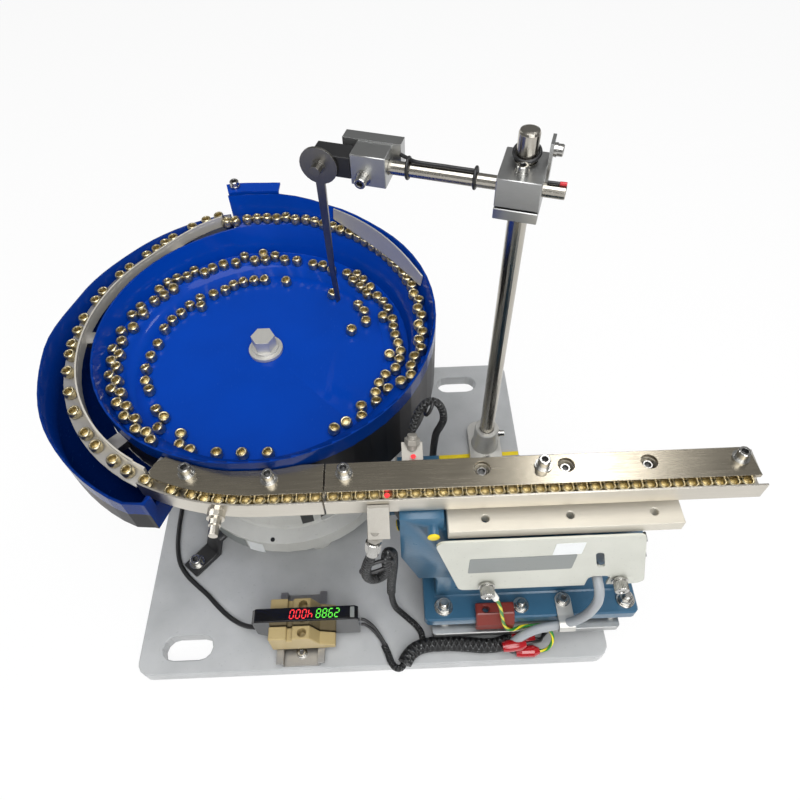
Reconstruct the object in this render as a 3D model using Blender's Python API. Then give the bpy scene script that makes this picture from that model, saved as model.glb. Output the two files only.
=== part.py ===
"""Vibratory bowl feeder with its linear track, drives, level switch arm and base plate.

Metres, +Z up. The origin lies under the base plate, on the bowl's axis, and +X runs along the track.
"""

import math

import bmesh
import bpy
from mathutils import Matrix, Vector

MM = 0.001
GAP = 0.3 * MM
SEAT_SINK = 0.4 * MM

# Base plate
PLATE_THICK = 12 * MM
PLATE_LEFT = -109 * MM
PLATE_RIGHT = 236 * MM
PLATE_FRONT = -168 * MM
PLATE_BACK = 115 * MM
PLATE_STEP = 40.5 * MM
PLATE_STEP_Y = 8 * MM
PLATE_CORNER = 10 * MM
SLOT_LENGTH = 37 * MM
SLOT_WIDTH = 18 * MM
SLOT_FRONT_LEFT = (-74 * MM, -149 * MM)
SLOT_BACK_RIGHT = (146.5 * MM, 92 * MM)
SLOT_BACK_LEFT = (-74 * MM, 92 * MM)
PLATE_TOP = PLATE_THICK

# Round drive under the bowl
DRIVE_FOOT_RISE = 20 * MM
DRIVE_FOOT_RADIUS = 12 * MM
DRIVE_FOOT_CIRCLE = 66 * MM
DRIVE_FOOT_ANGLES = (288, 48, 168)
DRIVE_RADIUS = 86 * MM
DRIVE_RIM_HEIGHT = 16 * MM
DRIVE_WAIST_RADIUS = 74 * MM
DRIVE_HEIGHT = 58 * MM
DRIVE_SPRING_RUN = 30 * MM
YOKE_RADIUS = 72 * MM
YOKE_HEIGHT = 22 * MM
YOKE_BOSS_RADIUS = 60 * MM
SPRING_ANGLES = (30, 120, 210, 300)
SPRING_INNER = 50 * MM
SPRING_WIDTH = 21 * MM
SPRING_THICK = 4 * MM
SPRING_LEAN = 0.2
SPRING_POCKET = 11 * MM
SPRING_SEAT = 20 * MM
SPRING_GRIP = 16 * MM
COIL_RADIUS = 24 * MM
COIL_HEIGHT = 14 * MM
ARMATURE_RADIUS = 18 * MM
ARMATURE_HEIGHT = 12 * MM
CLAMP_ANGLES = (228, 348, 108)
CLAMP_FLAT = 23 * MM
CLAMP_WIDTH = 15 * MM
CLAMP_THICK = 5 * MM
CLAMP_BOLT_IN = 8 * MM
CLAMP_REACH = DRIVE_RADIUS + 12 * MM + CLAMP_FLAT
DRIVE_BASE_Z = PLATE_TOP + DRIVE_FOOT_RISE
DRIVE_TOP_Z = DRIVE_BASE_Z + DRIVE_HEIGHT
YOKE_Z = DRIVE_TOP_Z + DRIVE_SPRING_RUN
YOKE_SHOULDER_Z = YOKE_Z + YOKE_HEIGHT

# Bowl: a dished floor and one ledge that winds up to the rim
BOWL_RECESS = 7 * MM
BOWL_CLEAR = 8 * MM
BOWL_BASE_Z = YOKE_SHOULDER_Z + BOWL_CLEAR
BOWL_RECESS_RADIUS = 76 * MM
FLOOR_EDGE_RISE = 12.4 * MM
FLOOR_DISH = 9.6 * MM
FLOOR_DISH_RADIUS = 80 * MM
HUB_RADIUS = 13 * MM
LEDGE_START = -40
LEDGE_END = 465
LEDGE_RADIUS = 86 * MM
LEDGE_SPREAD = 27 * MM
LEDGE_CLIMB = 31 * MM
LEDGE_INSET = 6.5 * MM
WALL_THICK = 1.6 * MM
WALL_LEAN = 3 * MM
STATION_STEP = 6
RIM_RADIUS = 108.9 * MM
RIM_SPREAD = 18.1 * MM
RIM_RISE = 45 * MM
RIM_CLIMB = 17 * MM
RIM_RADIUS_AT = (
    (105, 0), (180, 0), (225, 0.006), (250, 0.028), (270, 0.171), (285, 0.282),
    (300, 0.326), (330, 0.392), (405, 0.42), (435, 0.558), (450, 0.779), (465, 1),
)  # fmt: skip
RIM_RISE_AT = (
    (105, 0.059), (115, 0), (180, 0), (225, 0.118), (250, 0.294), (270, 0.529),
    (300, 0.588), (405, 0.706), (430, 0.824), (438, 1), (465, 1),
)  # fmt: skip

# Return pan welded to the outside of the bowl
PAN_START = 105.6
PAN_END = 249
PAN_RISE = 18 * MM
PAN_RIM_RISE = 45 * MM
PAN_SHEET = 1.6 * MM
PAN_GROOVE_ROOM = 6.5 * MM
PAN_RADIUS = 127.6 * MM
PAN_SPREAD = 16.4 * MM
PAN_RADIUS_AT = (
    (105, 0), (112, 0.116), (140, 0.207), (163, 0.39), (185, 0.756), (215, 0.939),
    (243, 1), (249, 0.756),
)  # fmt: skip

# Groove that the workpieces run along, first round the bowl, then along the track
GROOVE_WIDTH = 8.2 * MM
GROOVE_FLOOR_RISE = 38 * MM
GROOVE_BED = 4 * MM
GROOVE_BACK = 6.3 * MM
GROOVE_LIP = 8.6 * MM
LIP_THICK = 1.1 * MM
COVER_THICK = 2.6 * MM
COVER_OVERHANG = 1 * MM
TRACK_Y = -129.3 * MM
TRACK_BACK_Y = -110 * MM
JOINT_X = 46.4 * MM
JOINT_GAP = 1 * MM
TRACK_END_X = 286.5 * MM
BEND_X = 12 * MM
BEND_RADIUS = 141.8 * MM
BEND_ANGLE = 28
RAIL_START = 106
RAIL_CLEAR_ANGLE = 2.1
RAIL_RADIUS_START = 121.5 * MM
RAIL_STEP_IN = 0.6 * MM
RAIL_STRIP = 9 * MM
RAIL_SHEET = 1.5 * MM
RAIL_FENCE = 5 * MM
RAIL_DROP_ANGLE = 35
RAIL_BRACKET_ANGLES = (128, 178, 226)
GROOVE_FLOOR_Z = BOWL_BASE_Z + GROOVE_FLOOR_RISE
RAIL_BOTTOM_Z = GROOVE_FLOOR_Z - GROOVE_BED
RAIL_TOP_Z = GROOVE_FLOOR_Z + GROOVE_BACK
COVER_TOP_Z = RAIL_TOP_Z + GAP + COVER_THICK
COVER_FRONT_Y = TRACK_Y + COVER_OVERHANG
CHANNEL_START = Vector((
    BEND_X - BEND_RADIUS * math.sin(math.radians(BEND_ANGLE)),
    TRACK_Y + BEND_RADIUS * (1 - math.cos(math.radians(BEND_ANGLE))),
))
RAIL_END = math.degrees(math.atan2(CHANNEL_START.y, CHANNEL_START.x)) % 360 - RAIL_CLEAR_ANGLE
RAIL_RADIUS_END = CHANNEL_START.length - RAIL_STEP_IN

# Fasteners
SOCKET_HEAD = 3.2 * MM
SOCKET_HEIGHT = 5 * MM
WASHER_RADIUS = 4.6 * MM
WASHER_THICK = 1 * MM
COUNTERBORE = 4.4 * MM
COUNTERBORE_DEPTH = 4 * MM
COVER_SCREW_Y = -117 * MM
TRACK_SCREW_X = (57.8 * MM, 167.7 * MM, 276.9 * MM)
COUNTERBORE_X = (134 * MM, 180.5 * MM, 226.5 * MM)
ADJUSTER_X = -12 * MM
CHUTE_SCREWS = ((-29.4 * MM, -112.6 * MM), (16.7 * MM, -118.7 * MM))

CENTRE_WASHER = 11.6 * MM
CENTRE_LOCK_WASHER = 9 * MM
CENTRE_HEAD = 8.1 * MM

# Mount bracket between the track and the linear drive
MOUNT_WEB = 9 * MM
MOUNT_THICK = 8 * MM
MOUNT_LEFT = 114 * MM
MOUNT_RIGHT = 246 * MM
MOUNT_FRONT = -144 * MM
MOUNT_BACK = -100 * MM
MOUNT_WEB_FRONT = -123 * MM
MOUNT_HOLES = (135.3 * MM, 183.1 * MM, 230.4 * MM)
MOUNT_HOLE_Y = -136.3 * MM
MOUNT_HOLE = 2.3 * MM
MOUNT_TOP_Z = RAIL_BOTTOM_Z - MOUNT_WEB
MOUNT_Z = MOUNT_TOP_Z - MOUNT_THICK

# Linear drive: upper casting, inclined leaf springs and lower casting
DRIVE_FRONT = -138 * MM
DRIVE_BACK = -84 * MM
DRIVE_WALL = 7 * MM
UPPER_LEFT = 87.3 * MM
UPPER_RIGHT = 226 * MM
UPPER_FACET_DROP = 35 * MM
UPPER_TOE_DROP = 69 * MM
UPPER_SKIRT_DROP = 55 * MM
UPPER_CORE_DROP = 39 * MM
UPPER_CAP_RISE = 14 * MM
LEAF_TOP_X = 84.3 * MM
LEAF_SPACING = 142 * MM
LEAF_SLOPE = 0.25
LEAF_THICK = 2.4 * MM
LEAF_FRONT = -126 * MM
LEAF_BACK = -96 * MM
LEAF_LENGTH = 100 * MM
BLOCK_LEFT = 102 * MM
BLOCK_RIGHT = 254 * MM
BLOCK_FRONT = -148 * MM
BLOCK_BACK = -76 * MM
BLOCK_THICK = 10 * MM
RISER_RISE = 12 * MM
RISER_THICK = 6 * MM
RISER_LEFT = 107 * MM
RISER_RIGHT = 243 * MM
RISER_FRONT = -153 * MM
RISER_BACK = -76 * MM
SPACER_HEIGHT = 5 * MM
LINEAR_FOOT_RADIUS = 7 * MM
LINEAR_COIL_LENGTH = 44 * MM
COIL_X = 164 * MM
LEAF_SHANK = 2.4 * MM
LEAF_HOLE = 3.3 * MM
UPPER_HEAD_GAP = 0.6 * MM
LEAF_SCREW_Y = (LEAF_FRONT + 7 * MM, LEAF_BACK - 7 * MM)
UPPER_SCREW_DROPS = (12 * MM, 32 * MM)
LOWER_SCREW_RISES = (9 * MM, 33 * MM)
UPPER_Z = MOUNT_Z - GAP
LEAF_TOP_Z = UPPER_Z + 5 * MM
LEAF_BOTTOM_Z = LEAF_TOP_Z - LEAF_LENGTH
CORE_Z = UPPER_Z - UPPER_CORE_DROP
RISER_Z = PLATE_TOP + RISER_RISE
BLOCK_Z = RISER_Z + RISER_THICK + SPACER_HEIGHT
BLOCK_TOP_Z = BLOCK_Z + BLOCK_THICK

# Side cover of the linear drive
SIDE_Y = -146 * MM
SIDE_SHEET = 1.5 * MM
SIDE_TOP_LEFT = 106 * MM
SIDE_TOP_RIGHT = 225 * MM
SIDE_SLANT = 17.5 * MM
SIDE_HEIGHT = 70 * MM
SIDE_RISE = 2 * MM
SIDE_CORNER = 5 * MM
SIDE_SLOT_X = 206 * MM
LEAD_X = 211 * MM
THUMB_X = (128 * MM, 234 * MM)
THUMB_RISE = 5.5 * MM
THUMB_RADIUS = 4.6 * MM
THUMB_SHANK = 2 * MM
SIDE_TOP_Z = UPPER_Z + SIDE_RISE
SIDE_BOTTOM_Z = SIDE_TOP_Z - SIDE_HEIGHT

# Post, cross clamp and level switch arm
POST_X = 165.3 * MM
POST_Y = 18 * MM
POST_RADIUS = 6 * MM
POST_TOP_Z = 318 * MM
FOOT_WIDTH = 28 * MM
FOOT_DEPTH = 48 * MM
FOOT_THICK = 6 * MM
FOOT_BOSS_RADIUS = 10.5 * MM
FOOT_BOSS_TOP = 30 * MM
SLIDE_FIT = 0.35 * MM
ARM_DROP = 26 * MM
ARM_YAW = math.radians(-18)
ARM_OFFSET = -14 * MM
ROD_RADIUS = 4 * MM
ROD_RIGHT = 25 * MM
ROD_LEFT = -76 * MM
CLAMP_HALF = 12.5 * MM
CLAMP_FRONT = -22 * MM
CLAMP_BACK = 10 * MM
CLAMP_LOW = -18 * MM
CLAMP_HIGH = 8 * MM
CLAMP_SLIT = 1.2 * MM
SWITCH_BLOCK_LEFT = -96 * MM
SWITCH_BLOCK_RIGHT = -75 * MM
SWITCH_HALF = 9.5 * MM
PADDLE_X = -115 * MM
PADDLE_DISC = 11.5 * MM
PADDLE_SHEET = 1.6 * MM
PADDLE_TIP_RISE = 34 * MM
PADDLE_TOP_WIDTH = 5.6 * MM
PADDLE_TIP_WIDTH = 3.2 * MM
PADDLE_Y = -23.4 * MM
ARM_Z = POST_TOP_Z - ARM_DROP
PADDLE_LENGTH = ARM_Z - BOWL_BASE_Z - PADDLE_TIP_RISE

# Amplifier on its rail
RAIL_X = 11.5 * MM
RAIL_FRONT = -166 * MM
RAIL_BACK = -113 * MM
RAIL_WIDTH = 35 * MM
RAIL_HEIGHT = 7.5 * MM
RAIL_CROWN = 27 * MM
RAIL_THICK = 1.2 * MM
AMPLIFIER_LEFT = -20 * MM
AMPLIFIER_RIGHT = 55 * MM
AMPLIFIER_Y = -141 * MM
AMPLIFIER_DEPTH = 10 * MM
AMPLIFIER_HEIGHT = 30 * MM
BRACKET_DEPTH = 9.5 * MM
BRACKET_HEIGHT = 22 * MM
RAIL_BASE_Z = PLATE_TOP + GAP
RAIL_CROWN_Z = RAIL_BASE_Z + RAIL_HEIGHT

# Cords: diameters, then the points that each one follows, in millimetres
FIBRE_DIAMETER = 2.2 * MM
HARNESS_DIAMETER = 10.5 * MM
SENSOR_LEAD_DIAMETER = 4.5 * MM
AMPLIFIER_LEAD_DIAMETER = 3.6 * MM
DRIVE_LEAD_DIAMETER = 6.5 * MM
EARTH_DIAMETER = 2.4 * MM
SWITCH_WIRE_DIAMETER = 2.2 * MM
SUPPLY_DIAMETER = 5.5 * MM
SUPPLY_COIL = (191 * MM, -40 * MM)
SUPPLY_COIL_RADIUS = 28.5 * MM
SUPPLY_TURNS_HIGH = 4
SUPPLY_TURNS_WIDE = 2
AMPLIFIER_COIL = (-84 * MM, 50 * MM)
AMPLIFIER_COIL_RADIUS = 19 * MM
AMPLIFIER_TURNS_HIGH = 4
AMPLIFIER_TURNS_WIDE = 3
FIBRE_ROUTE = (
    (55.6, -141, 24), (58.5, -141.2, 23.4), (63, -143.4, 20), (68, -148, 16.2), (72, -154, 14.4),
    (74.6, -160.2, 14.6), (76.6, -166, 15.6), (79.4, -170.4, 16.8), (83.2, -171.6, 17.6), (86, -169.2, 18),
)  # fmt: skip
HARNESS_ROUTE = (
    (86.7, -168.2, 18), (89.6, -163.4, 17.8), (94.6, -159, 17.7), (102, -156.4, 17.7), (111, -155.8, 17.7),
    (122, -156, 17.7), (134, -157.2, 17.7), (146, -158.4, 17.7), (158, -157.4, 17.7), (169, -152.4, 17.7),
    (177, -144, 17.7), (181, -133, 17.7), (180.4, -121, 17.7), (175.4, -111.4, 17.7), (167, -105, 17.7),
    (157, -99.6, 17.7), (149.4, -92.6, 17.7), (145.6, -83.6, 17.7), (145.4, -76, 17.7), (146.6, -68.5, 17.7),
    (149.07, -62.04, 17.7),
)  # fmt: skip
SENSOR_FRONT_ROUTE = (
    (72.6, -147.2, 175), (72.4, -149, 170.5), (70.2, -151.4, 163), (67.4, -152.6, 153), (66.6, -152.4, 142),
    (68.4, -151.4, 133.5), (72.4, -150, 129.6), (76.6, -148.6, 132), (78.8, -147.6, 139.5), (78.4, -146.4, 147.5),
    (79.4, -144, 152), (82.2, -142.4, 148), (82.6, -142, 138), (82, -141.4, 124), (81, -140, 108), (80, -138, 90),
    (79.4, -135.4, 70), (79.6, -132.6, 50), (80.4, -130.6, 34), (82.2, -130, 22.6), (86, -131.6, 16.8),
    (91, -135.6, 14.8), (96, -140.4, 14.7), (99.4, -145.4, 14.7), (100.6, -150.6, 14.8),
)  # fmt: skip
SENSOR_REAR_ROUTE = (
    (96.6, -93.4, 202.6), (98, -90.6, 207), (101, -87, 213), (105.6, -84.4, 216.6), (110.6, -83.6, 215),
    (114, -84.2, 208.6), (115, -84.6, 200), (113.6, -82.6, 190), (111.6, -79.4, 178), (110.6, -77.4, 160),
    (110.2, -76.6, 140), (110, -75.6, 118), (109.8, -74, 96), (110.4, -71.8, 74), (112, -69.2, 54),
    (115.4, -67.4, 36), (120, -69, 22), (126.4, -73.4, 15.6), (133, -78, 14.8), (139.8, -79.4, 14.8),
)  # fmt: skip
AMPLIFIER_LEAD_ROUTE = (
    (-20.5, -140.6, 25), (-25, -139.8, 24.2), (-31, -137.4, 20.6), (-38, -133.2, 16.2), (-46, -127.6, 14.3),
    (-55, -119.6, 14.2), (-64.5, -110, 14.2), (-74.5, -101.4, 14.2), (-83.6, -92.8, 14.2), (-90.8, -82, 14.2),
    (-94.8, -68, 14.2), (-96.6, -52, 14.2), (-97, -38, 14.2), (-97.6, -22, 14.2), (-98.8, -8, 14.2), (-101, 5, 14.2),
    (-103.6, 16, 14.2), (-105.4, 26, 14.2), (-106, 35.6, 14.2),
)  # fmt: skip
DRIVE_LEAD_ROUTE = (
    (211, -130.5, 106), (211, -136, 106), (211, -143, 106), (211, -149, 105.4), (211.2, -153.6, 102.4),
    (211.2, -156, 96.6), (210.4, -156.6, 88), (208.8, -156.2, 77), (206, -155.4, 66), (202.4, -154.8, 56),
    (198.4, -154.4, 47.6), (193.6, -154.4, 41), (187, -154.4, 37.2), (181, -154.4, 36.6), (175, -154.6, 36),
    (170, -156, 33.6), (166, -158.2, 29.4),
)  # fmt: skip
EARTH_ROUTE = (
    (130.7, -151.4, 99.2), (132.6, -152.6, 94), (135.4, -154.4, 84), (137.6, -155.4, 73), (139.6, -155.6, 62),
    (142.2, -155.8, 52), (146, -155.8, 44.4), (151, -155.6, 39), (157.6, -154.4, 35), (164.4, -152, 32.8),
    (171, -150, 31.8), (180, -149.6, 31.6), (187.5, -149.8, 31.7), (191.5, -153.4, 31.4), (193.5, -157.2, 28.4), (193, -160.5, 23.8),
    (190.4, -162.8, 19.6), (187.6, -163.4, 17.7), (185, -163.5, 17.3),
)  # fmt: skip
SWITCH_WIRE_ROUTE = (
    (-69.6, -9, 5.6), (-66, -11, 5.6), (-60, -13.6, 5.5), (-52, -14, 5.5), (-44, -13.9, 5.5), (-36, -14, 5.5),
    (-30, -14, 5.5), (-24, -14, 5.5),
)  # fmt: skip


# Helpers


def at(table, angle):
    """Value of a table of (degrees, share) at an angle, eased between its entries."""
    for (left, first), (right, second) in zip(table, table[1:]):
        if left <= angle <= right:
            share = (angle - left) / (right - left)
            ease = share * share * (3 - 2 * share)
            return first + (second - first) * ease
    return table[-1][1]


def polar(radius, degrees, z):
    turn = math.radians(degrees)
    return Vector((radius * math.cos(turn), radius * math.sin(turn), z))


def material(name, colour, roughness, metallic=0.0):
    paint = bpy.data.materials.new(name)
    paint.use_nodes = True
    shader = paint.node_tree.nodes["Principled BSDF"]
    shader.inputs["Base Color"].default_value = (*colour, 1)
    shader.inputs["Roughness"].default_value = roughness
    shader.inputs["Metallic"].default_value = metallic
    paint.diffuse_color = (*colour, 1)
    return paint


def link(name, data, paint, joint=None):
    """Puts one mesh or curve in the scene as a node, riding on its joint's empty."""
    data.materials.append(paint)
    node = bpy.data.objects.new(name, data)
    bpy.context.scene.collection.objects.link(node)
    if joint is not None:
        node.parent = joint
        node.location = joint["offset"]
    return node


def solid(name, mesh, paint, joint=None):
    """Turns a bmesh into a node with outward faces and smooth round sides."""
    bmesh.ops.remove_doubles(mesh, verts=mesh.verts, dist=1e-6)
    bmesh.ops.recalc_face_normals(mesh, faces=mesh.faces)
    data = bpy.data.meshes.new(name)
    mesh.to_mesh(data)
    mesh.free()
    data.shade_smooth()
    data.set_sharp_from_angle(angle=math.radians(35))
    return link(name, data, paint, joint)


def bevelled(node, width, segments=1):
    edge = node.modifiers.new("edges", "BEVEL")
    edge.width = width
    edge.segments = segments
    edge.limit_method = "ANGLE"
    edge.angle_limit = math.radians(50)
    return node


def boolean(node, mesh, operation):
    """Cuts the mesh from the node, or joins it on. The cutter stays as a hidden guide."""
    bmesh.ops.remove_doubles(mesh, verts=mesh.verts, dist=1e-6)
    bmesh.ops.recalc_face_normals(mesh, faces=mesh.faces)
    data = bpy.data.meshes.new(node.name + "_tool")
    mesh.to_mesh(data)
    mesh.free()
    tool = bpy.data.objects.new(data.name, data)
    bpy.context.scene.collection.objects.link(tool)
    tool.parent = node
    tool.hide_render = True
    tool.display_type = "WIRE"
    step = node.modifiers.new(operation.lower(), "BOOLEAN")
    step.operation = operation
    step.solver = "EXACT"
    step.object = tool
    return node


def block(mesh, low, high):
    """Adds a box between two corners."""
    made = bmesh.ops.create_cube(mesh, size=1)["verts"]
    low, high = Vector(low), Vector(high)
    for vert in made:
        vert.co = Vector(low[i] if vert.co[i] < 0 else high[i] for i in range(3))
    return made


def prism(mesh, outline, low, high, along="Z"):
    """Adds an outline extruded along X (outline in y, z), Y (x, z) or Z (x, y)."""
    def place(u, v, w):
        return {"X": (w, u, v), "Y": (u, w, v), "Z": (u, v, w)}[along]

    face = mesh.faces.new([mesh.verts.new(place(u, v, low)) for u, v in outline])
    raised = bmesh.ops.extrude_face_region(mesh, geom=[face])["geom"]
    top = [item for item in raised if isinstance(item, bmesh.types.BMVert)]
    shift = Vector(place(0, 0, high)) - Vector(place(0, 0, low))
    bmesh.ops.translate(mesh, verts=top, vec=shift)
    return list(face.verts) + top


def turned(mesh, profile, centre=(0, 0, 0), axis=(0, 0, 1), steps=24):
    """Adds a profile of (radius, height) turned about an axis through the centre."""
    made = []
    rings = []
    for step in range(steps):
        turn = 2 * math.pi * step / steps
        ring = [mesh.verts.new((r * math.cos(turn), r * math.sin(turn), h)) for r, h in profile]
        rings.append(ring)
        made += ring
    for first, second in zip(rings, rings[1:] + rings[:1]):
        for i in range(len(profile) - 1):
            mesh.faces.new((first[i], second[i], second[i + 1], first[i + 1]))
        if profile[0][0] > 0:
            mesh.faces.new((first[-1], second[-1], second[0], first[0]))
    aim = Vector(axis).to_track_quat("Z", "Y").to_matrix().to_4x4()
    place = Matrix.Translation(Vector(centre)) @ aim
    bmesh.ops.transform(mesh, matrix=place, verts=made)
    bmesh.ops.remove_doubles(mesh, verts=made, dist=1e-6)


def drum(mesh, centre, radius, length, axis=(0, 0, 1), sides=14):
    """Adds a cylinder that starts at the centre and runs along the axis."""
    turned(mesh, ((0, 0), (radius, 0), (radius, length), (0, length)), centre, axis, sides)


def socket_screw(mesh, seat, axis=(0, 0, 1), head=SOCKET_HEAD, height=SOCKET_HEIGHT, washer=WASHER_RADIUS):
    """Adds a cap screw with a washer under its head, let a little into its seat so that they join."""
    top = WASHER_THICK + height
    profile = (
        (0, -SEAT_SINK), (washer, -SEAT_SINK), (washer, WASHER_THICK), (head, WASHER_THICK), (head, top), (0, top),
    )  # fmt: skip
    turned(mesh, profile, seat, axis, 10)


def nuts_and_studs(node, seats, nut, stud, washer, height):
    """Joins a washer, a six-sided nut and a stud's end on each level seat."""
    rounds, nuts = bmesh.new(), bmesh.new()
    thick = 1.4 * MM
    for seat in seats:
        profile = ((0, -SEAT_SINK), (washer, -SEAT_SINK), (washer, thick), (stud, thick), (stud, height + 4 * MM),
                   (0, height + 4 * MM))  # fmt: skip
        turned(rounds, profile, seat, steps=12)
        drum(nuts, Vector(seat) + Vector((0, 0, thick - SEAT_SINK)), nut, height - thick, sides=6)
    boolean(node, rounds, "UNION")
    return boolean(node, nuts, "UNION")


def sweep(mesh, rings, closed=False):
    """Joins rings of points into one closed skin, capped at both ends unless it meets itself."""
    made = [[mesh.verts.new(point) for point in ring] for ring in rings]
    pairs = list(zip(made, made[1:]))
    if closed:
        pairs.append((made[-1], made[0]))
    for first, second in pairs:
        for i in range(len(first)):
            j = (i + 1) % len(first)
            mesh.faces.new((first[i], second[i], second[j], first[j]))
    if not closed:
        mesh.faces.new(made[0])
        mesh.faces.new(list(reversed(made[-1])))


def smooth_path(points, spacing):
    """Points at an even spacing on a smooth curve through the given ones."""
    through = [Vector(point) * MM for point in points]
    ends = [2 * through[0] - through[1], *through, 2 * through[-1] - through[-2]]
    fine = []
    for before, start, stop, after in zip(ends, ends[1:], ends[2:], ends[3:]):
        for step in range(16):
            t = step / 16
            fine.append(
                0.5 * (2 * start + (stop - before) * t + (2 * before - 5 * start + 4 * stop - after) * t * t
                       + (3 * start - before - 3 * stop + after) * t ** 3)
            )  # fmt: skip
    fine.append(through[-1])
    kept = [fine[0]]
    run = 0.0
    for previous, point in zip(fine, fine[1:]):
        run += (point - previous).length
        if run >= spacing:
            kept.append(point)
            run = 0.0
    if (kept[-1] - fine[-1]).length < 0.4 * spacing:
        kept.pop()
    kept.append(fine[-1])
    return kept


def cord(name, route, diameter, paint, joint=None, spacing=2.8):
    """A round cord laid along a route, as a tube with filled ends."""
    curve = bpy.data.curves.new(name, "CURVE")
    curve.dimensions = "3D"
    curve.bevel_depth = diameter / 2
    curve.bevel_resolution = 2
    curve.use_fill_caps = True
    points = smooth_path(route, spacing * diameter)
    spline = curve.splines.new("POLY")
    spline.points.add(len(points) - 1)
    for target, point in zip(spline.points, points):
        target.co = (*point, 1)
    return link(name, curve, paint, joint)


def coil(mesh, centre, middle, diameter, wide, high):
    """Adds the turned ring that a round coil of cord fills."""
    low = PLATE_TOP + GAP
    half = diameter * wide / 2
    profile = (
        (middle - half, low), (middle + half, low), (middle + half, low + diameter * high),
        (middle - half, low + diameter * high),
    )  # fmt: skip
    turned(mesh, profile, (*centre, 0), steps=32)


def rounded(corners, radius, steps=3):
    """Outline with each convex corner rounded by the same radius."""
    outline = []
    count = len(corners)
    for i, corner in enumerate(corners):
        here = Vector(corner)
        back = (Vector(corners[i - 1]) - here).normalized()
        ahead = (Vector(corners[(i + 1) % count]) - here).normalized()
        half = back.angle(ahead) / 2
        reach = radius / math.tan(half)
        centre = here + (back + ahead).normalized() * (radius / math.sin(half))
        start, stop = here + back * reach - centre, here + ahead * reach - centre
        for step in range(steps + 1):
            spot = start.lerp(stop, step / steps).normalized() * radius + centre
            outline.append((spot.x, spot.y))
    return outline


def slot_outline(centre, length, width, steps=6):
    """Outline of a slot with round ends, long side along the first axis."""
    outline = []
    for side, first in ((1, -90), (-1, 90)):
        for step in range(steps + 1):
            turn = math.radians(first + 180 * step / steps)
            x = centre[0] + side * (length - width) / 2 + width / 2 * math.cos(turn)
            outline.append((x, centre[1] + width / 2 * math.sin(turn)))
    return outline


def joint_empty(name, location, turn=0.0):
    """Empty on a joint's axis. Unturned ones keep their pieces' meshes in world coordinates."""
    empty = bpy.data.objects.new(name, None)
    empty.empty_display_size = 0.03
    empty.location = location
    empty.rotation_euler.z = turn
    empty["offset"] = (0, 0, 0) if turn else tuple(-Vector(location))
    bpy.context.scene.collection.objects.link(empty)
    return empty


# Spiral of the bowl


def ledge_share(angle):
    return (angle - LEDGE_START) / (450 - LEDGE_START)


def ledge_inner(angle):
    return LEDGE_RADIUS + LEDGE_SPREAD * ledge_share(angle) - LEDGE_INSET


def ledge_z(angle):
    return floor_z(ledge_inner(LEDGE_START)) + LEDGE_CLIMB * ledge_share(angle)


def floor_z(radius):
    rise = FLOOR_EDGE_RISE + FLOOR_DISH * (1 - (radius - HUB_RADIUS) / FLOOR_DISH_RADIUS)
    return BOWL_BASE_Z + rise


def rim_radius(angle):
    return RIM_RADIUS + RIM_SPREAD * at(RIM_RADIUS_AT, angle)


def rim_z(angle):
    return BOWL_BASE_Z + RIM_RISE + RIM_CLIMB * at(RIM_RISE_AT, angle)


def pan_radius(angle):
    return PAN_RADIUS + PAN_SPREAD * at(PAN_RADIUS_AT, angle)


def bowl_station(angle):
    """Half section of the bowl at an angle, as named points (radius, height)."""
    lower, upper = angle - 360, angle
    foot = ledge_inner(upper) - WALL_LEAN
    if lower >= LEDGE_START:
        low_in = ledge_inner(lower)
        points = {
            "low_foot": (low_in - 1.2 * MM, floor_z(low_in - 1.2 * MM)),
            "low_in": (low_in, ledge_z(lower)),
            "low_out": (foot - 1 * MM, ledge_z(lower)),
            "high_foot": (foot, ledge_z(lower)),
        }
    else:
        first = ledge_inner(LEDGE_START)
        points = {
            "low_foot": (first - 1.2 * MM, floor_z(first - 1.2 * MM)),
            "low_in": (first, floor_z(first)),
            "low_out": (first + 2 * MM, floor_z(first + 2 * MM)),
            "high_foot": (ledge_inner(upper) - 1.2 * MM, floor_z(ledge_inner(upper) - 1.2 * MM)),
        }
    meets_ledge = angle == LEDGE_END - 360
    wall = ledge_inner(LEDGE_END) if meets_ledge else rim_radius(angle) - WALL_THICK
    top = ledge_z(LEDGE_END) if meets_ledge else rim_z(angle)
    points["high_in"] = (ledge_inner(upper), ledge_z(upper))
    points["high_out"] = (wall - WALL_LEAN - 1 * MM, ledge_z(upper))
    points["wall_foot"] = (wall - WALL_LEAN, ledge_z(upper))
    points["wall_in"] = (wall, top)
    points["wall_out"] = (wall + WALL_THICK, top)
    points["base_out"] = (wall + WALL_THICK, BOWL_BASE_Z)
    points["base_in"] = (BOWL_RECESS_RADIUS, BOWL_BASE_Z)
    points["recess_out"] = (BOWL_RECESS_RADIUS, BOWL_BASE_Z + BOWL_RECESS)
    return points


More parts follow.
